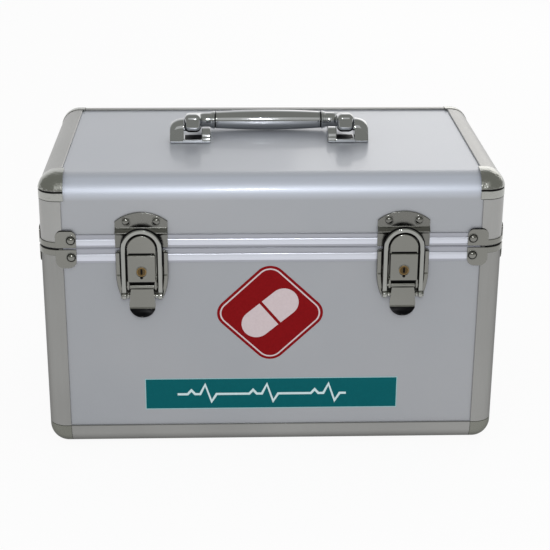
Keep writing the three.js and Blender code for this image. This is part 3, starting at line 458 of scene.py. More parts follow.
# near-black for dark pieces put where there is only shade: painted shade in grooves, seams, recesses, round
# rivets and round the bail
painted_shade_finish = plain_finish("painted_shade", "dark_trim", (10, 10, 11), (15, 15, 17), 0.45, 500, 0.01, 0.05)
# near-black for the lever's curled tip: a painted dark reflection
painted_reflection_finish = plain_finish("painted_dark_reflection", "dark_trim", (7, 7, 9), (11, 11, 13), 0.3, 500, 0.01, 0.05)


# Edge extrusions


def edge_section():
    """Two flanges that meet in a rounded edge, each with a slot for a panel."""
    lip = 0.35
    points = [(EDGE_FACE - lip, 0), (EDGE_FACE, lip), (EDGE_FACE, EDGE_WALL), (EDGE_RADIUS, EDGE_WALL)]
    points += [(EDGE_RADIUS, SLOT_INNER), (EDGE_FACE, SLOT_INNER), (EDGE_FACE, EDGE_DEPTH)]
    mirrored = [(b, a) for a, b in reversed(points)]
    rounding = arc(EDGE_RADIUS, EDGE_RADIUS, EDGE_RADIUS, 180, 270)
    return [*points, (EDGE_DEPTH, EDGE_DEPTH), *mirrored, *rounding]


def build_edges():
    section = edge_section()
    flipped = [(a, HEIGHT - b) for a, b in section]
    low, high = BASE_CORNER + GAP, LID_CORNER + GAP
    for index, length in enumerate(LENGTHS):
        post = prism(section, low, BASE_TOP, "XY")
        side_piece("post", [post], index, edge_finish, "base", "corner_post")
        bottom = prism(section, low, length - low, "YZ")
        side_piece("edge_bottom", [bottom], index, edge_finish, "base", "bottom_edge", SIDES)
        upper = prism(section, LID_BOTTOM, HEIGHT - high, "XY")
        side_piece("upper_post", [upper], index, top_edge_finish, "lid", "lid_post")
        if length == DEPTH:
            top = prism(flipped, high, length - high, "YZ")
            side_piece("edge_top", [top], index, top_edge_finish, "lid", "lid_edge", SIDES)


# Corner pieces


def corner_sweep(profile, size):
    """A closed profile of inset and height, swept round a corner that opens along X and Y."""
    paths = []
    for inset, height in profile:
        radius = max(EDGE_RADIUS - inset, 0.0)
        turn = arc(inset + radius, inset + radius, radius, 270, 180)
        paths.append([(x, y, height) for x, y in [(size, inset), *turn, (inset, size)]])
    return loft(zip(*paths))


def build_corners():
    centre, within = EDGE_RADIUS, EDGE_RADIUS - EDGE_WALL
    outer = arc(centre, centre, EDGE_RADIUS, 180, 270)
    inner = arc(centre, centre, within, 270, 180)
    base_profile = [(0.3, BASE_CORNER), (0, BASE_CORNER - 0.3), *outer, (BASE_CORNER, 0)]
    base_profile += [(BASE_CORNER, EDGE_WALL), *inner, (EDGE_WALL, BASE_CORNER)]

    proud, skirt, groove = 0.5, 0.2, 0.75
    groove_low, groove_high = -13.6, -12.4
    ball = EDGE_RADIUS + proud
    start = math.degrees(math.asin((EDGE_RADIUS - 12.2) / ball))
    crown = arc(centre, -centre, ball, 180 - start, 90)
    shell = arc(centre, -centre, within, 90, 180)
    lid_profile = [(0.3 - skirt, -LID_CORNER), (-skirt, 0.3 - LID_CORNER), (-skirt, -14.0)]
    lid_profile += [(0.2 - skirt, -13.7), (groove, groove_low), (groove, groove_high), *crown]
    lid_profile += [(LID_CORNER - 0.3, proud), (LID_CORNER, proud - 0.3), (LID_CORNER, -EDGE_WALL)]
    lid_profile += [*shell, (EDGE_WALL, -LID_CORNER)]
    groove_shade_profile = [(0.1, groove_low), (0.1, groove_high), (0.9, groove_high), (0.9, groove_low)]

    lower = corner_sweep(base_profile, BASE_CORNER)
    upper = corner_sweep(lid_profile, LID_CORNER).moved(0, 0, HEIGHT)
    # a dark ring in the corner's groove: painted shade
    ring = corner_sweep(groove_shade_profile, LID_CORNER - 0.1).moved(0, 0, HEIGHT)
    for index in range(len(CORNERS)):
        side_piece("corner_low", [lower], index, corner_finish, "base", "bottom_corner")
        side_piece("corner_high", [upper], index, ball_finish, "lid", "lid_corner")
        side_piece("corner_groove_shade", [ring], index, painted_shade_finish, "lid")


# Rim frames

RAIL_START = EDGE_FACE + GAP
RIM_OUTER, RIM_INNER = 7.3, 8.5


def bead(low, high):
    """A half round that stands out from the rail's lip, from one height to another."""
    depth, middle, half = 0.6, (low + high) / 2, (high - low) / 2
    return [(depth - depth * math.sin(a), middle - half * math.cos(a)) for a in np.linspace(0, math.pi, 17)]


def rail_section(face, height):
    """A rail's section: its face, then its inner side and the slot that grips a panel."""
    inner = (RIM_OUTER + RIM_INNER) / 2
    slot = [(SLOT_INNER, 0), (SLOT_INNER, RAIL_GRIP), (EDGE_WALL, RAIL_GRIP), (EDGE_WALL, 0)]
    return [*face, (inner, height), (inner, 0), *slot]


def rails(section, indices=(0, 1, 2, 3)):
    """A section carried along sides of the case, between the corner posts."""
    return [at_side(prism(section, RAIL_START, LENGTHS[i] - RAIL_START, "YZ"), i) for i in indices]


def rim_walls(low, high):
    def loop(inset):
        x, y = WIDTH / 2 - inset, DEPTH / 2 - inset
        return [(-x, -y), (x, -y), (x, y), (-x, y)]
    return pierced(loop(RIM_OUTER), [loop(RIM_INNER)], low, high, "XY")


def build_rims():
    low = BASE_TOP - BASE_RAIL
    face = [(0.75, 0), (0.6, 0.15), *bead(1.4, 7.2), (0.9, 7.3), (0.9, 8.3), (0.25, 8.5), (0.25, 11.4)]
    face.append((0.5, BASE_RAIL))
    tongue = [(2.8, -3), (4.2, -3), (4.2, 2.7), (3.9, 3), (3.1, 3), (2.8, 2.7)]
    tongue += [(2.8, 0.6), (0.7, 0.5), (0.7, -1)]
    base = [rail.moved(0, 0, low) for rail in rails(rail_section(face, BASE_RAIL))]
    base += [rail.moved(0, 0, BASE_TOP) for rail in rails(tongue, (0, 1, 3))]
    piece("rim_base", [*base, rim_walls(low, BASE_TOP)], rail_finish, "base", ["base_rim_frame"])

    top = LID_BOTTOM + LID_RAIL
    face = [(0.4, 0), (0.25, 0.15), (0.25, 2.3), (0.9, 2.5), (0.9, 3.5), *bead(3.6, 8.8), (0.6, 10.25)]
    face += [(0.75, LID_RAIL), (2.5, LID_RAIL), (2.5, 7.5), (4.5, 7.5), (4.5, LID_RAIL)]
    lid = rails([(a, top - b) for a, b in rail_section(face, LID_RAIL)])
    piece("rim_lid", [*lid, rim_walls(LID_BOTTOM, top)], rail_finish, "lid", ["lid_rim_frame"])


# Corner clips

CLIP_START, CLIP_END = 12.6, 28.4
CLIP_SEAT, CLIP_FACE = -0.12, -0.87
RIVET_PLACE = 24.4
RIVET_Z = {"base": BASE_TOP - 6.4, "lid": LID_BOTTOM + 6.4}


def dome(radius, rise, root=0.5):
    """A domed head that stands up along -Y from its seat at the origin."""
    return lathe([(0, root), (radius, root), *arc(0, 0, radius, 0, 90, 11, -rise)], "Y", 32)


def to_long_side(solid, index):
    """Something on a clip's tab along X, taken to the other tab where that is the one on the long side."""
    return solid.crossed() if index % 2 else solid


def clip_solids(index, low, high, radii, strap_low, strap_high, rivet_z):
    """Half a clip: two tabs, the strap that joins them round the post, a rivet and a flat stud."""
    outline = rounded(CLIP_START, low, CLIP_END, high, radii, 10)
    tab = beveled(prism(outline, CLIP_FACE, CLIP_SEAT, "XZ"), 0.25, 2)
    outer, inner, soft = CLIP_FACE + 0.1, CLIP_SEAT - 0.05, 0.25
    strap = [(outer + soft, strap_low), (outer, strap_low + soft), (outer, strap_high - soft)]
    strap += [(outer + soft, strap_high), (inner, strap_high), (inner, strap_low)]
    collar = lathe([(3.5, 0.3), (4.0, 0.3), (4.0, -0.2), (3.8, -0.4), (3.5, -0.4)], "Y", 32)
    rivet = [dome(3.0, 1.9).moved(RIVET_PLACE, CLIP_FACE, rivet_z), collar.moved(RIVET_PLACE, outer, rivet_z)]
    flat = dome(3.2, 0.3).moved(RIVET_PLACE, CLIP_FACE, rivet_z)
    shown = [to_long_side(solid, index) for solid in rivet]
    return [tab, tab.crossed(), corner_sweep(strap, CLIP_START + 1), *shown, to_long_side(flat, index + 1)]


def build_clips():
    low, high, seam_top = BASE_TOP - 0.4, LID_BOTTOM + 0.4, LID_BOTTOM - 0.1
    # a dark strip in the seam under each clip: painted shade
    seam = corner_sweep([(-0.35, low), (-0.35, seam_top), (0.6, seam_top), (0.6, low)], CLIP_START + 1)
    outline = rounded(CLIP_START + 0.6, high + 6, CLIP_END - 0.6, high + 13.9, (0, 0, 4.5, 4.5), 10)
    shade = prism(outline, -0.3, -0.02, "XZ")
    # dark rings round the clip rivets: painted shade at their rims
    seat = lathe([(3.0, 0.2), (3.5, 0.2), (3.5, -0.25), (3.0, -0.25)], "Y", 32)
    for index in range(len(CORNERS)):
        side_piece("clip_seam_shade", [seam], index, painted_shade_finish, "base")
        base = clip_solids(index, low - 14.8, low, (6, 6, 0.6, 0.6), low - 4.6, low, RIVET_Z["base"])
        side_piece("clip_base", base, index, nickel_finish, "base", "base_clip")
        lid = clip_solids(index, high, high + 13.2, (0.6, 0.6, 4.5, 4.5), high, high + 4.4, RIVET_Z["lid"])
        side_piece("clip_lid", lid, index, nickel_finish, "lid", "lid_clip")
        side_piece("clip_shade", [to_long_side(shade, index)], index, painted_shade_finish, "lid")
        for body, level in RIVET_Z.items():
            placed = to_long_side(seat.moved(RIVET_PLACE, CLIP_FACE, level), index)
            side_piece("rivet_seat_" + body, [placed], index, painted_shade_finish, body)


# Lid panel, lining, tray and pad

LID_BEND = 16.5


def build_panels():
    half = DEPTH / 2 - PANEL_INSET
    low = LID_BOTTOM + LID_RAIL - RAIL_GRIP + GAP
    centre = LID_TOP - LID_BEND
    back = DEPTH / 2 - EDGE_RADIUS - GAP
    outline = [(back, LID_TOP), *arc(LID_BEND - half, centre, LID_BEND, 90, 180, 24)]
    outline += [(-half, low), (PANEL_THICKNESS - half, low)]
    outline += arc(LID_BEND - half, centre, LID_BEND - PANEL_THICKNESS, 180, 90, 24)
    outline.append((back, LID_TOP - PANEL_THICKNESS))
    across = WIDTH / 2 - EDGE_RADIUS - GAP
    sheet = prism(outline, -across, across, "YZ")
    rear = block(-across, across, half - PANEL_THICKNESS, half, low, HEIGHT - EDGE_RADIUS - GAP)
    section = [(DEPTH / 2 - a, HEIGHT - b) for a, b in edge_section()]
    length = WIDTH / 2 - LID_CORNER - GAP
    piece("edge_top_back", [prism(section, -length, length, "YZ")], top_edge_finish, "lid")
    piece("lid_sheet", [sheet, rear], sheet_finish, "lid", ["lid_panel"])

    looks = {"lining": foam_finish, "lift_out_tray": tray_finish, "floor_panel": panel_finish}
    looks.update({side + "_panel": panel_finish for side in SIDES})
    looks.update({"lid_end_panel_" + hand: panel_finish for hand in HANDS})
    for node, look in looks.items():
        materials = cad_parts[node].data.materials
        materials.clear()
        materials.append(look.data)


def build_pad():
    """The lid's foam pad: a quilted sheet, thickest in the middle of each square."""
    top = LID_TOP - PANEL_THICKNESS - GAP
    half_x, half_y = WIDTH / 2 - EDGE_FACE - GAP, DEPTH / 2 - EDGE_FACE - GAP
    columns, rows = 96, 56
    squares_x, squares_y = 8, 4
    seam_depth, puff_depth = 1.1, 1.85
    points, faces = [], []
    for layer in range(2):
        for j in range(rows + 1):
            for i in range(columns + 1):
                u, v = i / columns, j / rows
                puff = abs(math.sin(math.pi * squares_x * u) * math.sin(math.pi * squares_y * v)) ** 0.4
                depth = layer * (seam_depth + puff_depth * puff)
                points.append(((2 * u - 1) * half_x, (2 * v - 1) * half_y, top - depth))
    layer_size = (rows + 1) * (columns + 1)
    for j in range(rows):
        for i in range(columns):
            a = j * (columns + 1) + i
            quad = (a, a + 1, a + columns + 2, a + columns + 1)
            faces += [quad, tuple(k + layer_size for k in quad[::-1])]
    rim = list(range(columns + 1)) + [j * (columns + 1) + columns for j in range(1, rows + 1)]
    rim += [rows * (columns + 1) + i for i in range(columns - 1, -1, -1)]
    rim += [j * (columns + 1) for j in range(rows - 1, 0, -1)]
    faces += [(a, b, b + layer_size, a + layer_size) for a, b in zip(rim, rim[1:] + rim[:1])]
    pad = piece("lid_cushion", [Solid(points, faces)], foam_finish, "lid", ["lid_pad"])


# Latches, drawn round the latch's middle: X across it, Y from the front face, Z above the underside

LATCH_HALF = 20.0
HOUSING_FACE = -10.6
LOCK_Z = BASE_TOP - 14.9
LEVER_Y, LEVER_Z = -6.4, BASE_TOP - 28.2
BAIL_Y, BAIL_Z, BAIL_HALF = -6.8, BASE_TOP - 35.7, 13.75
ARCH_Z = BASE_TOP + 2.2
PLATE_FRONT, PLATE_SHOULDER = -1.5, BASE_TOP - 19.4
EAR_TOP = BASE_TOP - 23.0


def plate_outline():
    top, bottom, foot, radius = BASE_TOP - 0.8, BASE_TOP - 39.4, 16.0, 3.0
    middle = (bottom + PLATE_SHOULDER) / 2
    right = bent((foot, bottom), (LATCH_HALF, middle), (LATCH_HALF, PLATE_SHOULDER), 12)
    right += arc(LATCH_HALF - radius, top - radius, radius, 0, 90, 8)
    return right + [(-x, z) for x, z in reversed(right)]


def side_rib(sign):
    """The rolled strip along the plate's side, lower where a notch is pressed into it."""
    half, height, notch_z = 2.15, 2.3, BASE_TOP - 19.0
    rings = []
    for z in np.linspace(BASE_TOP - 38.2, BASE_TOP - 1.6, 60):
        down = max(PLATE_SHOULDER - z, 0.0)
        centre = 17.9 - 4.0 * (down / 20.0) ** 2
        end = min(1.0, (z - BASE_TOP + 38.4) / 2.0, BASE_TOP - 1.3 - z)
        notch = 1.0 - 0.22 * math.exp(-(((z - notch_z) / 1.6) ** 2))
        rise = height * math.sqrt(end) * notch + 0.4
        ring = [(centre + half * math.copysign(abs(math.cos(a)) ** 0.6, math.cos(a)),
                 PLATE_FRONT + 0.4 - rise * math.sin(a) ** 0.6) for a in np.linspace(0, math.pi, 17)]
        ring += [(centre - half, PLATE_FRONT + 0.8), (centre + half, PLATE_FRONT + 0.8)]
        rings.append([(sign * x, y, z) for x, y in ring])
    return loft(rings)


def build_latch(hand, side):
    def put(name, solids, material, body, node=None):
        """A piece of this latch, taken to its place on the case."""
        placed = [solid.moved(side * LATCH_X, FRONT, 0) for solid in solids]
        piece(f"{name}_{hand}", placed, material, body, [f"{node}_{hand}"] if node else [])

    plate = beveled(prism(plate_outline(), PLATE_FRONT, -GAP, "XZ"), 0.3, 2)
    housing = block(-10.5, 10.5, HOUSING_FACE, -1.0, BASE_TOP - 23.6, BASE_TOP - 1.7)
    face = arc(0, ARCH_Z, 10.8, 0, 180, 40) + [(-10.8, BASE_TOP - 2.6), (10.8, BASE_TOP - 2.6)]
    catch = beveled(prism(face, -8.0, -4.4, "XZ"), 0.7, 3)
    shelf = block(-10.2, 10.2, -7.0, -1.2, BASE_TOP - 3.4, BASE_TOP - 1.3)
    ear = [(-9.6, EAR_TOP), *arc(LEVER_Y, LEVER_Z, 3.2, 180, 270, 12), (-1.0, LEVER_Z - 3.2), (-1.0, EAR_TOP)]
    ears = [beveled(prism(ear, left, left + 1.6, "YZ"), 0.3, 2) for left in (-11.2, 9.6)]
    collar = lathe([(3.8, 0.4), (4.5, 0.4), (4.5, -0.12), (4.3, -0.3), (3.95, -0.2), (3.8, 0.1)], "Y")
    solids = [plate, side_rib(-1), side_rib(1), beveled(housing, 0.9, 3), catch, shelf, *ears]
    solids.append(collar.moved(0, HOUSING_FACE, LOCK_Z))
    put("latch_base", solids, nickel_finish, "base", "latch_plate")
    # dark pieces put where there is only shade: painted shade in the hole under the lock, in the groove over
    # the housing, under the housing and beside it inside the bail
    hole = lathe([(0, -0.55), (1.15, -0.55), (1.15, 0.3), (0, 0.3)], "Y", 24)
    shade_pieces = [hole.moved(0, HOUSING_FACE + 0.2, LOCK_Z - 4.7)]
    shade_pieces.append(block(-9.6, 9.6, -8.3, -6.5, BASE_TOP - 1.9, BASE_TOP - 0.9))
    shade_pieces.append(block(-9.8, 9.8, -9.6, -4.0, BASE_TOP - 24.6, BASE_TOP - 23.4))
    shade_pieces += [block(left, left + 0.9, -4.2, -1.4, BASE_TOP - 24.5, BASE_TOP - 1.2) for left in (-12.2, 11.3)]
    put("latch_shade", shade_pieces, painted_shade_finish, "base")

    build_lock(hand, put)
    build_lever(hand, put)
    build_bail(hand, put)
    build_keeper(put)


def build_lock(hand, put):
    """The lock cylinder: a bright rim round a duller plug, which has the keyway cut into it, and a dark disc
    behind the keyway as painted shade.
    """
    radius, plug, depth = 3.75, 2.8, 7.0
    rim = [(plug, depth), (radius, depth), (radius, -0.2), (radius - 0.2, -0.4)]
    rim += [(plug + 0.25, -0.4), (plug, -0.15)]
    keyway = rounded(-0.8, -2.2, 0.8, 2.4, (0.7, 0.7, 0.8, 0.8), 4)
    front = pierced(arc(0, 0, plug, 0, 360, 48)[:-1], [keyway[::-1]], -0.3, 2.4, "XZ")
    back = lathe([(0, -0.1), (plug, -0.1), (plug, depth), (0, depth)], "Y")
    rim, front, back = (solid.moved(0, HOUSING_FACE, LOCK_Z) for solid in (lathe(rim, "Y"), front, back))
    put("lock_rim", [rim], brass_finish, "lock_" + hand, "lock_cylinder")
    put("lock_plug", [front], plug_finish, "lock_" + hand)
    put("lock_keyway", [back], painted_shade_finish, "lock_" + hand)


def build_lever(hand, put):
    """The lever: a plate that hangs from its axle and curls forward to a rounded tip."""
    thick, radius, tip, width = 1.2, 11.0, 8.4, 10.0
    front, curl = LEVER_Y - 2.4, BASE_TOP - 42.4
    end = math.asin(tip / radius)
    line = [(front, LEVER_Z - 1.5)] + [(front, z) for z in np.linspace(LEVER_Z - 4, curl, 6)]
    halves = [width - 1.6 * (z - curl) / (LEVER_Z - curl) for y, z in line]
    shares = [math.sin(a) for a in np.linspace(0, math.pi / 2, 19)[1:]]
    line += [(front - radius + radius * math.cos(end * t), curl - radius * math.sin(end * t)) for t in shares]
    halves += [width * math.sqrt(max(1 - t ** 2.2, 0.006)) for t in shares]

    def carried(first, outer, inner, extra):
        """The plate from a point of its line on, swelling before the line and flat behind it."""
        across = np.linspace(-1, 1, 25)
        rings = []
        for (y, z), (dy, dz), half in list(zip(line, headings(line), halves))[first:]:
            ring = [(u, outer * (1.5 - u * u)) for u in across] + [(u, -inner) for u in across[::-1]]
            rings.append([(u * (half + extra), y + dz * out, z - dy * out) for u, out in ring])
        return loft(rings)

    solids = [carried(0, 0.25, thick, 0), rod(-9.2, 9.2, LEVER_Y, LEVER_Z, 2.4)]
    solids += [rod(-11.9, 11.9, LEVER_Y, LEVER_Z, 1.4), rod(-16.0, 16.0, BAIL_Y, BAIL_Z, 1.5)]
    put("latch_lever_plate", solids, nickel_finish, "lever_" + hand, "latch_lever")
    # a dark shell over the lever's curled tip: painted dark reflection
    put("latch_lever_lip", [carried(10, 0.5, thick + 0.25, 0.3)], painted_reflection_finish, "lever_" + hand)


def build_bail(hand, put):
    """The bail: a thick strip bent to an arch, with a curled eye at the end of each leg."""
    path = [(BAIL_HALF, z) for z in np.linspace(BAIL_Z, ARCH_Z, 14)[:-1]]
    path += arc(0, ARCH_Z, BAIL_HALF, 0, 180, 40)
    path += [(-BAIL_HALF, z) for z in np.linspace(ARCH_Z, BAIL_Z, 14)[1:]]

    def carried(section, skipped):
        rings = []
        for (x, z), (dx, dz) in list(zip(path, headings(path)))[skipped:len(path) - skipped]:
            rings.append([(x + a * dz, BAIL_Y + b, z - a * dx) for a, b in section])
        return loft(rings)

    eyes = [rod(12.0, 15.5, BAIL_Y, BAIL_Z, 3.1, 0.8), rod(15.5, 16.4, BAIL_Y, BAIL_Z, 2.3, 0.5)]
    eyes.append(rod(9.9, 11.7, BAIL_Y, BAIL_Z, 2.2))
    solids = [carried(rounded(-1.75, -1.2, 1.75, 1.2, [0.9] * 4, 5), 0), *mirrored_pair(eyes)]
    put("latch_bail_strip", solids, bright_finish, "bail_" + hand, "latch_bail")
    shade = carried([(-2.5, 0.9), (2.5, 0.9), (2.5, 1.4), (-2.5, 1.4)], 8)
    put("latch_bail_shade", [shade], painted_shade_finish, "bail_" + hand)


def build_keeper(put):
    """The keeper: a plate with an arched top and two rivets, and across it the ridge that the bail holds."""
    bottom, shoulder, top = LID_BOTTOM + 0.6, LID_BOTTOM + 21.1, LID_BOTTOM + 28.3
    low, high, reach, front = LID_BOTTOM + 10.4, LID_BOTTOM + 15.2, 2.4, -1.5
    rise = top - shoulder
    radius = (LATCH_HALF ** 2 + rise ** 2) / (2 * rise)
    profile = [(front, bottom + 0.3), (front, low - 0.6)]
    for t in np.linspace(0, 1, 25)[1:-1]:
        profile.append((front - reach * 0.5 * (1 - math.cos(2 * math.pi * t)), low + (high - low) * t))
    profile += [(-0.6, high + 0.4), (-0.1, high + 0.8), (0.0, high + 1.4)]
    rings = []
    for x in np.linspace(-LATCH_HALF, LATCH_HALF, 61):
        limit = top - radius + math.sqrt(radius ** 2 - x ** 2)
        rounding = max(0.4 - LATCH_HALF + abs(x), 0.0)
        ring = [(y + rounding, z) for y, z in profile]
        ring += [(0.0, limit - 0.5), (0.1, limit - 0.2), (0.4, limit), (1.2, limit), (1.2, high + 1.0)]
        ring += [(-GAP, high - 0.8), (-GAP, bottom), (-1.2, bottom)]
        rings.append([(x, y, z) for y, z in ring])
    seat = lathe([(3.0, 0.4), (3.8, 0.4), (3.8, -0.1), (3.5, -0.25), (3.0, -0.25)], "Y", 32)
    rivet = [solid.moved(11.5, 0.0, shoulder) for solid in (dome(3.0, 1.7, 1.0), seat)]
    put("latch_catch", [loft(rings), *mirrored_pair(rivet)], keeper_finish, "lid", "latch_keeper")


# Handle and its mounts

PIVOT_RISE = 10.4
PIVOT_Y, PIVOT_Z = -5.5, LID_TOP + PIVOT_RISE
ARM_X, ARM_RADIUS, ARM_LIFT = 62.0, 6.2, 4.1
REACH, TILT = 31.5, -10.5


def handle_half():
    """The right half of the handle, in the plane of its arms: the grip lies along X at the arms' reach."""
    bend = 12.0
    path = [(ARM_X, y, 0) for y in np.linspace(9, REACH - bend, 6)]
    path += bent((ARM_X, REACH - bend, 0), (ARM_X, REACH, 0), (ARM_X - bend, REACH, 0), 16)[1:]
    path += [(x, REACH, 0) for x in np.linspace(49, 44, 4)]
    return tube(path, arc(0, 0, ARM_RADIUS, 0, 360, 32)[:-1])


def knuckle():
    """The rounded boss at the foot of an arm, which takes the trunnion pin."""
    return beveled(block(ARM_X - 6.9, ARM_X + 6.9, -7.4, 15.0, -7.4, 7.4), 4.3, 6)


def grip():
    """The grip, with a rounded ring and a groove at each end of its swelling barrel."""
    profile = [(0, 47.6), (6.6, 47.6), (6.9, 47.3), (6.9, 46.3)]
    ring = np.linspace(0.25, math.pi - 0.25, 9)
    profile += [(6.7 + 0.9 * math.sin(a), 45.2 + 0.9 * math.cos(a)) for a in ring]
    profile += [(6.3, 44.1), (6.3, 43.5)]
    profile += [(6.9 + 0.35 * math.sin(a), 42.9 + 0.5 * math.cos(a)) for a in np.linspace(0, math.pi, 5)]
    profile += [(7.0 + 1.3 * (1 - s * s), 42.3 * s) for s in np.linspace(1, 0, 24)]
    left = [(r, -x) for r, x in reversed(profile[:-1])]
    return lathe(profile + left, "X", 64).moved(0, REACH, 0)


def mount_solids():
    """One mount, drawn round the pivot: a foot, a low cheek inside the arm and a domed ear outside it."""
    base = GAP - PIVOT_RISE
    front, inner, outer, radius = 9.5, 47.6, 80.5, 8.0
    arm_in, arm_out = ARM_X - 7.2, ARM_X + 7.2
    foot = beveled(block(inner, outer, -front, front, base, base + 1.9), 0.5, 3)
    fascia = beveled(block(arm_in - 1, arm_out + 1, -front - 0.3, -front + 1.6, base, base + 3.0), 0.6, 3)
    shape = [(-front, base), (front, base), *arc(0, base + 10.9 - radius, radius, 0, 180, 24)]
    cheek = beveled(prism(shape, inner, arm_in, "YZ"), 0.8, 3)
    rings = []
    for t in np.linspace(0, 1, 25):
        across = arm_out + (outer - arm_out) * t
        crown = radius - 7.0 * (1 - math.sqrt(1 - (0.98 * t) ** 2))
        squeeze = 1 - 0.1 * t ** 4
        centre = min(0.0, crown - radius * squeeze)
        curve = [(-front * squeeze, base), (front * squeeze, base)]
        curve += arc(0, centre, radius * squeeze, 0, 180, 23)
        rings.append([(across, y, z) for y, z in curve])
    ear = beveled(loft(rings), 0.5, 2, 50)
    return [foot, fascia, cheek, ear]


def build_handle():
    def laid_back(*solids):
        """Drawn in the plane of the arms, then tilted to the handle's rest and put on its pivot."""
        return together(*solids).moved(0, 0, ARM_LIFT).turned("X", TILT).moved(0, PIVOT_Y, PIVOT_Z)

    pins = mirrored_pair([rod(66, 73.6, PIVOT_Y, PIVOT_Z, 2.5)])
    solids = [laid_back(*mirrored_pair([handle_half(), knuckle()]), grip()), *pins]
    piece("carry_grip", solids, chrome_finish, "carry_handle", ["handle"])
    # dark rings in the grip's grooves: painted shade
    line = lathe([(6.0, 43.55), (6.75, 43.55), (6.75, 44.05), (6.0, 44.05)], "X").moved(0, REACH, 0)
    piece("carry_grip_groove_shade", [laid_back(*mirrored_pair([line]))], painted_shade_finish, "carry_handle")
    for hand, side in HANDS.items():
        mount = [solid.moved(0, PIVOT_Y, PIVOT_Z) for solid in mount_solids()]
        if side < 0:
            mount = [solid.mirrored() for solid in mount]
        piece("carry_mount_" + hand, mount, chrome_finish, "lid", ["handle_mount_" + hand])
        x = side * ARM_X
        # a dark sheet on the foot under each knuckle: painted shade
        slot = block(x - 6.6, x + 6.6, PIVOT_Y - 8.3, PIVOT_Y + 7.0, LID_TOP + 2.1, LID_TOP + 2.6)
        piece("carry_mount_shade_" + hand, [slot], painted_shade_finish, "lid")


# Hinges

HINGE_Y, HINGE_Z = 3.3, HEIGHT - 57.6
HINGE_HALF = 26


def hinge_leaf(starts, length):
    """A leaf drawn round its pin: the plate on the back face, the curled knuckles and two rivets."""
    face = -1.8
    shape = rounded(-HINGE_HALF, 3.3, HINGE_HALF, 17, (0, 0, 6, 6), 10)
    plate = beveled(prism(shape, -3, face, "XZ"), 0.3, 2)
    curl = [(-3, 4.5), *arc(0, 0, 3, 180, 360 + 126.9, 32), (face, 4.5)]
    knuckles = [beveled(prism(curl, start, start + length, "YZ"), 0.2, 2, 60) for start in starts]
    rivets = [dome(2.6, 1.3).turned("Z", 180).moved(x, face, 10.15) for x in (-17, 17)]
    return [plate, *knuckles, *rivets]


def build_hinges():
    pin = rod(-HINGE_HALF - 0.4, HINGE_HALF + 0.4, 0, 0, 1.5)
    for hand, side in HANDS.items():
        place = (side * HINGE_X, HINGE_Y - FRONT, HINGE_Z)
        lower = [solid.turned("Y", 180).moved(*place) for solid in [*hinge_leaf([-HINGE_HALF, 13], 13), pin]]
        piece("hinge_low_" + hand, lower, nickel_finish, "base", ["hinge_base_leaf_" + hand])
        upper = [solid.moved(*place) for solid in hinge_leaf([-12.7], 25.4)]
        piece("hinge_high_" + hand, upper, nickel_finish, "lid", ["hinge_lid_leaf_" + hand])


# Printed badge and band

BADGE_X, BADGE_Z = -1.8, 113.6
BAND = (-100.5, 99.7, 31.3, 57.9)


def stroke(points, width):
    """The outline of a line of a given width through flat points."""
    points = np.array(points, float)
    ways = np.diff(points, axis=0)
    ways /= np.linalg.norm(ways, axis=1)[:, None]
    across = np.stack([-ways[:, 1], ways[:, 0]], 1)
    before, after = np.vstack([across[:1], across]), np.vstack([across, across[-1:]])
    middle = before + after
    middle /= np.linalg.norm(middle, axis=1)[:, None]
    reach = middle * (width / 2 / np.maximum((middle * before).sum(1), 0.55))[:, None]
    return [*(points - reach), *(points + reach)[::-1]]


def film(name, outline, depth, material, holes=()):
    made = pierced(outline, [hole[::-1] for hole in holes], PANEL_FACE - depth, PANEL_FACE + 0.05, "XZ")
    piece(name, [made], material, "base")


def diamond(inset):
    """The badge's outline: a square stood on its corner, with round corners."""
    half, side, squash = 33.0 - inset, math.sqrt(0.5), 0.95
    square = rounded(-half, -half, half, half, [13.0 - inset] * 4, 16)
    return [(BADGE_X + side * (a - b), BADGE_Z + squash * side * (a + b)) for a, b in square]


def band(inset):
    left, right, low, high = (edge + sign * inset for edge, sign in zip(BAND, (1, -1, 1, -1)))
    return [(left, low), (right, low), (right, high), (left, high)]


def build_prints():
    film("badge_field", diamond(0.0), 0.10, red_finish)
    film("badge_line", diamond(2.2), 0.14, pale_finish, [diamond(3.4)])
    half, radius, seam = 14.0, 11.5, 1.2
    cos, sin = math.cos(math.radians(40)), math.sin(math.radians(40))
    end = [(seam, -radius), *arc(half, 0, radius, -90, 90, 24), (seam, radius)]
    for name, sign in (("badge_capsule_right", 1), ("badge_capsule_left", -1)):
        shape = [(sign * a, b) for a, b in end][::sign]
        turned = [(BADGE_X + a * cos - b * sin, BADGE_Z + a * sin + b * cos) for a, b in shape]
        film(name, turned, 0.14, pale_finish)
    film("band_border", band(0.0), 0.10, cyan_finish, [band(0.6)])
    film("band_field", band(0.6), 0.11, teal_finish)
    beat = [(0, 0), (8, 0), (11, 3.4), (14, 0), (18, 0), (22, 8.2), (27, -6.6), (31, 0), (36, 0)]
    line = [(start + a, 44.2 + b) for start in (-75.0, -26.0, 23.0) for a, b in beat]
    film("band_pulse", stroke(line, 1.9), 0.15, mark_finish)


# Studio

CAMERA_PLACE = (-36.2, -1135.7 + ROW_Y, 542.8)
CAMERA_TURN = (2.118, 21.108, 0.361)
CAMERA_SENSOR, CAMERA_FOCUS = 36.0, 1431.3 / 550


def seen_share(tree):
    """One for the rays that see or mirror a thing, and zero for the rays that are lit by it."""
    path = tree.nodes.new("ShaderNodeLightPath").outputs
    mirrored = calculated(tree, "MAXIMUM", path["Is Glossy Ray"], path["Is Transmission Ray"])
    return calculated(tree, "MAXIMUM", path["Is Camera Ray"], mirrored), path["Is Camera Ray"]


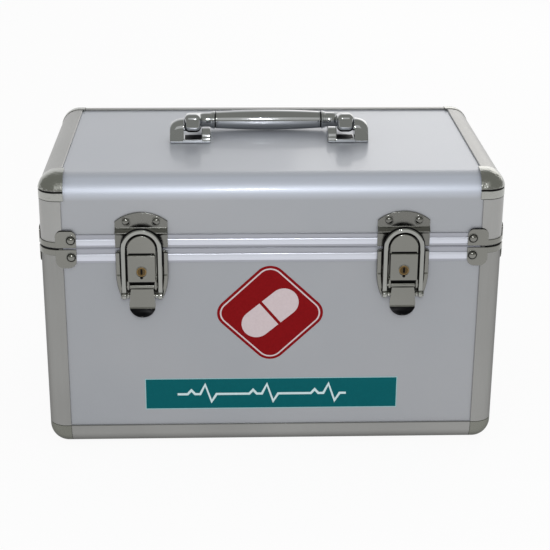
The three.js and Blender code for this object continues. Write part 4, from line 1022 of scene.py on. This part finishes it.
def build_floor():
    reach, shown = 6.0, 0.93
    mesh = bpy.data.meshes.new("floor")
    corners = [(-reach, -reach, 0), (reach, -reach, 0), (reach, reach, 0), (-reach, reach, 0)]
    mesh.from_pydata(corners, [], [(0, 1, 2, 3)])
    ground = bpy.data.objects.new("floor", mesh)
    bpy.context.scene.collection.objects.link(ground)
    look = bpy.data.materials.new("floor_pale")
    look.use_nodes = True
    tree = look.node_tree
    shader = tree.nodes["Principled BSDF"]
    shader.inputs["Base Color"].default_value = (0.9, 0.9, 0.9, 1)
    shader.inputs["Roughness"].default_value = 0.9
    shader.inputs["Specular IOR Level"].default_value = 0.1
    glow = tree.nodes.new("ShaderNodeEmission").outputs[0]
    share = calculated(tree, "MULTIPLY", seen_share(tree)[0], shown)
    mixed = add_node(tree, "ShaderNodeMixShader", {0: share, 1: shader.outputs[0], 2: glow}).outputs[0]
    tree.links.new(mixed, tree.nodes["Material Output"].inputs["Surface"])
    mesh.materials.append(look)


def build_world():
    """Soft even light; what is seen or mirrored is a white backdrop behind the case and a dimmer room."""
    world = bpy.data.worlds.new("studio")
    bpy.context.scene.world = world
    world.use_nodes = True
    tree = world.node_tree
    seen, camera = seen_share(tree)
    generated = tree.nodes.new("ShaderNodeTexCoord").outputs["Generated"]
    way = add_node(tree, "ShaderNodeSeparateXYZ", {0: generated}).outputs["Y"]
    inputs = {"Value": way, "From Min": 0.35, "From Max": 0.85}
    behind = add_node(tree, "ShaderNodeMapRange", inputs, interpolation_type="SMOOTHSTEP").outputs[0]
    room = blended(tree, calculated(tree, "MAXIMUM", behind, camera), srgb(154, 155, 149), WHITE)
    strength = add_node(tree, "ShaderNodeMapRange", {"Value": seen, "To Min": 0.6}).outputs[0]
    background = tree.nodes["Background"]
    tree.links.new(blended(tree, seen, WHITE, room), background.inputs["Color"])
    tree.links.new(strength, background.inputs["Strength"])


def lamp(name, place, aim, size, power, color=(1, 1, 1)):
    data = bpy.data.lights.new(name, "AREA")
    data.shape = "RECTANGLE"
    data.size, data.size_y = size
    data.energy = power
    data.color = color
    made = bpy.data.objects.new(name, data)
    bpy.context.scene.collection.objects.link(made)
    made.location = place
    made.rotation_euler = (Vector(aim) - Vector(place)).to_track_quat("-Z", "Y").to_euler()


def build_studio():
    bpy.context.scene.view_settings.view_transform = "Standard"
    build_floor()
    build_world()
    lamp("key_soft", (-0.1, -1.7, 1.1), (0, 0, 0.15), (1.6, 1.0), 2)
    lamp("key_small", (0.0, -1.24, 0.76), (0, 0, 0.2), (0.05, 0.05), 3.8, (0.96, 0.97, 1.0))
    lamp("right_back_soft", (0.9, 1.5, 0.9), (0.1, 0, 0.2), (1.8, 1.2), 6, (1.0, 0.97, 0.93))


def build_camera():
    yaw, pitch, roll = (math.radians(value) for value in CAMERA_TURN)
    forward = Vector((math.sin(yaw) * math.cos(pitch), math.cos(yaw) * math.cos(pitch), -math.sin(pitch)))
    right = Vector((math.cos(yaw), -math.sin(yaw), 0))
    up = right.cross(forward)
    right, up = math.cos(roll) * right + math.sin(roll) * up, math.cos(roll) * up - math.sin(roll) * right
    data = bpy.data.cameras.new("camera")
    data.sensor_width = CAMERA_SENSOR
    data.lens = CAMERA_FOCUS * CAMERA_SENSOR
    data.clip_end = 50
    made = bpy.data.objects.new("camera", data)
    bpy.context.scene.collection.objects.link(made)
    matrix = Matrix((right, up, -forward)).transposed().to_4x4()
    matrix.translation = Vector(CAMERA_PLACE) * MM
    made.matrix_world = matrix
    bpy.context.scene.camera = made


build_camera()
build_studio()
build_edges()
build_corners()
build_rims()
build_clips()
build_panels()
build_pad()
for hand, side in HANDS.items():
    build_latch(hand, side)
build_handle()
build_hinges()
build_prints()
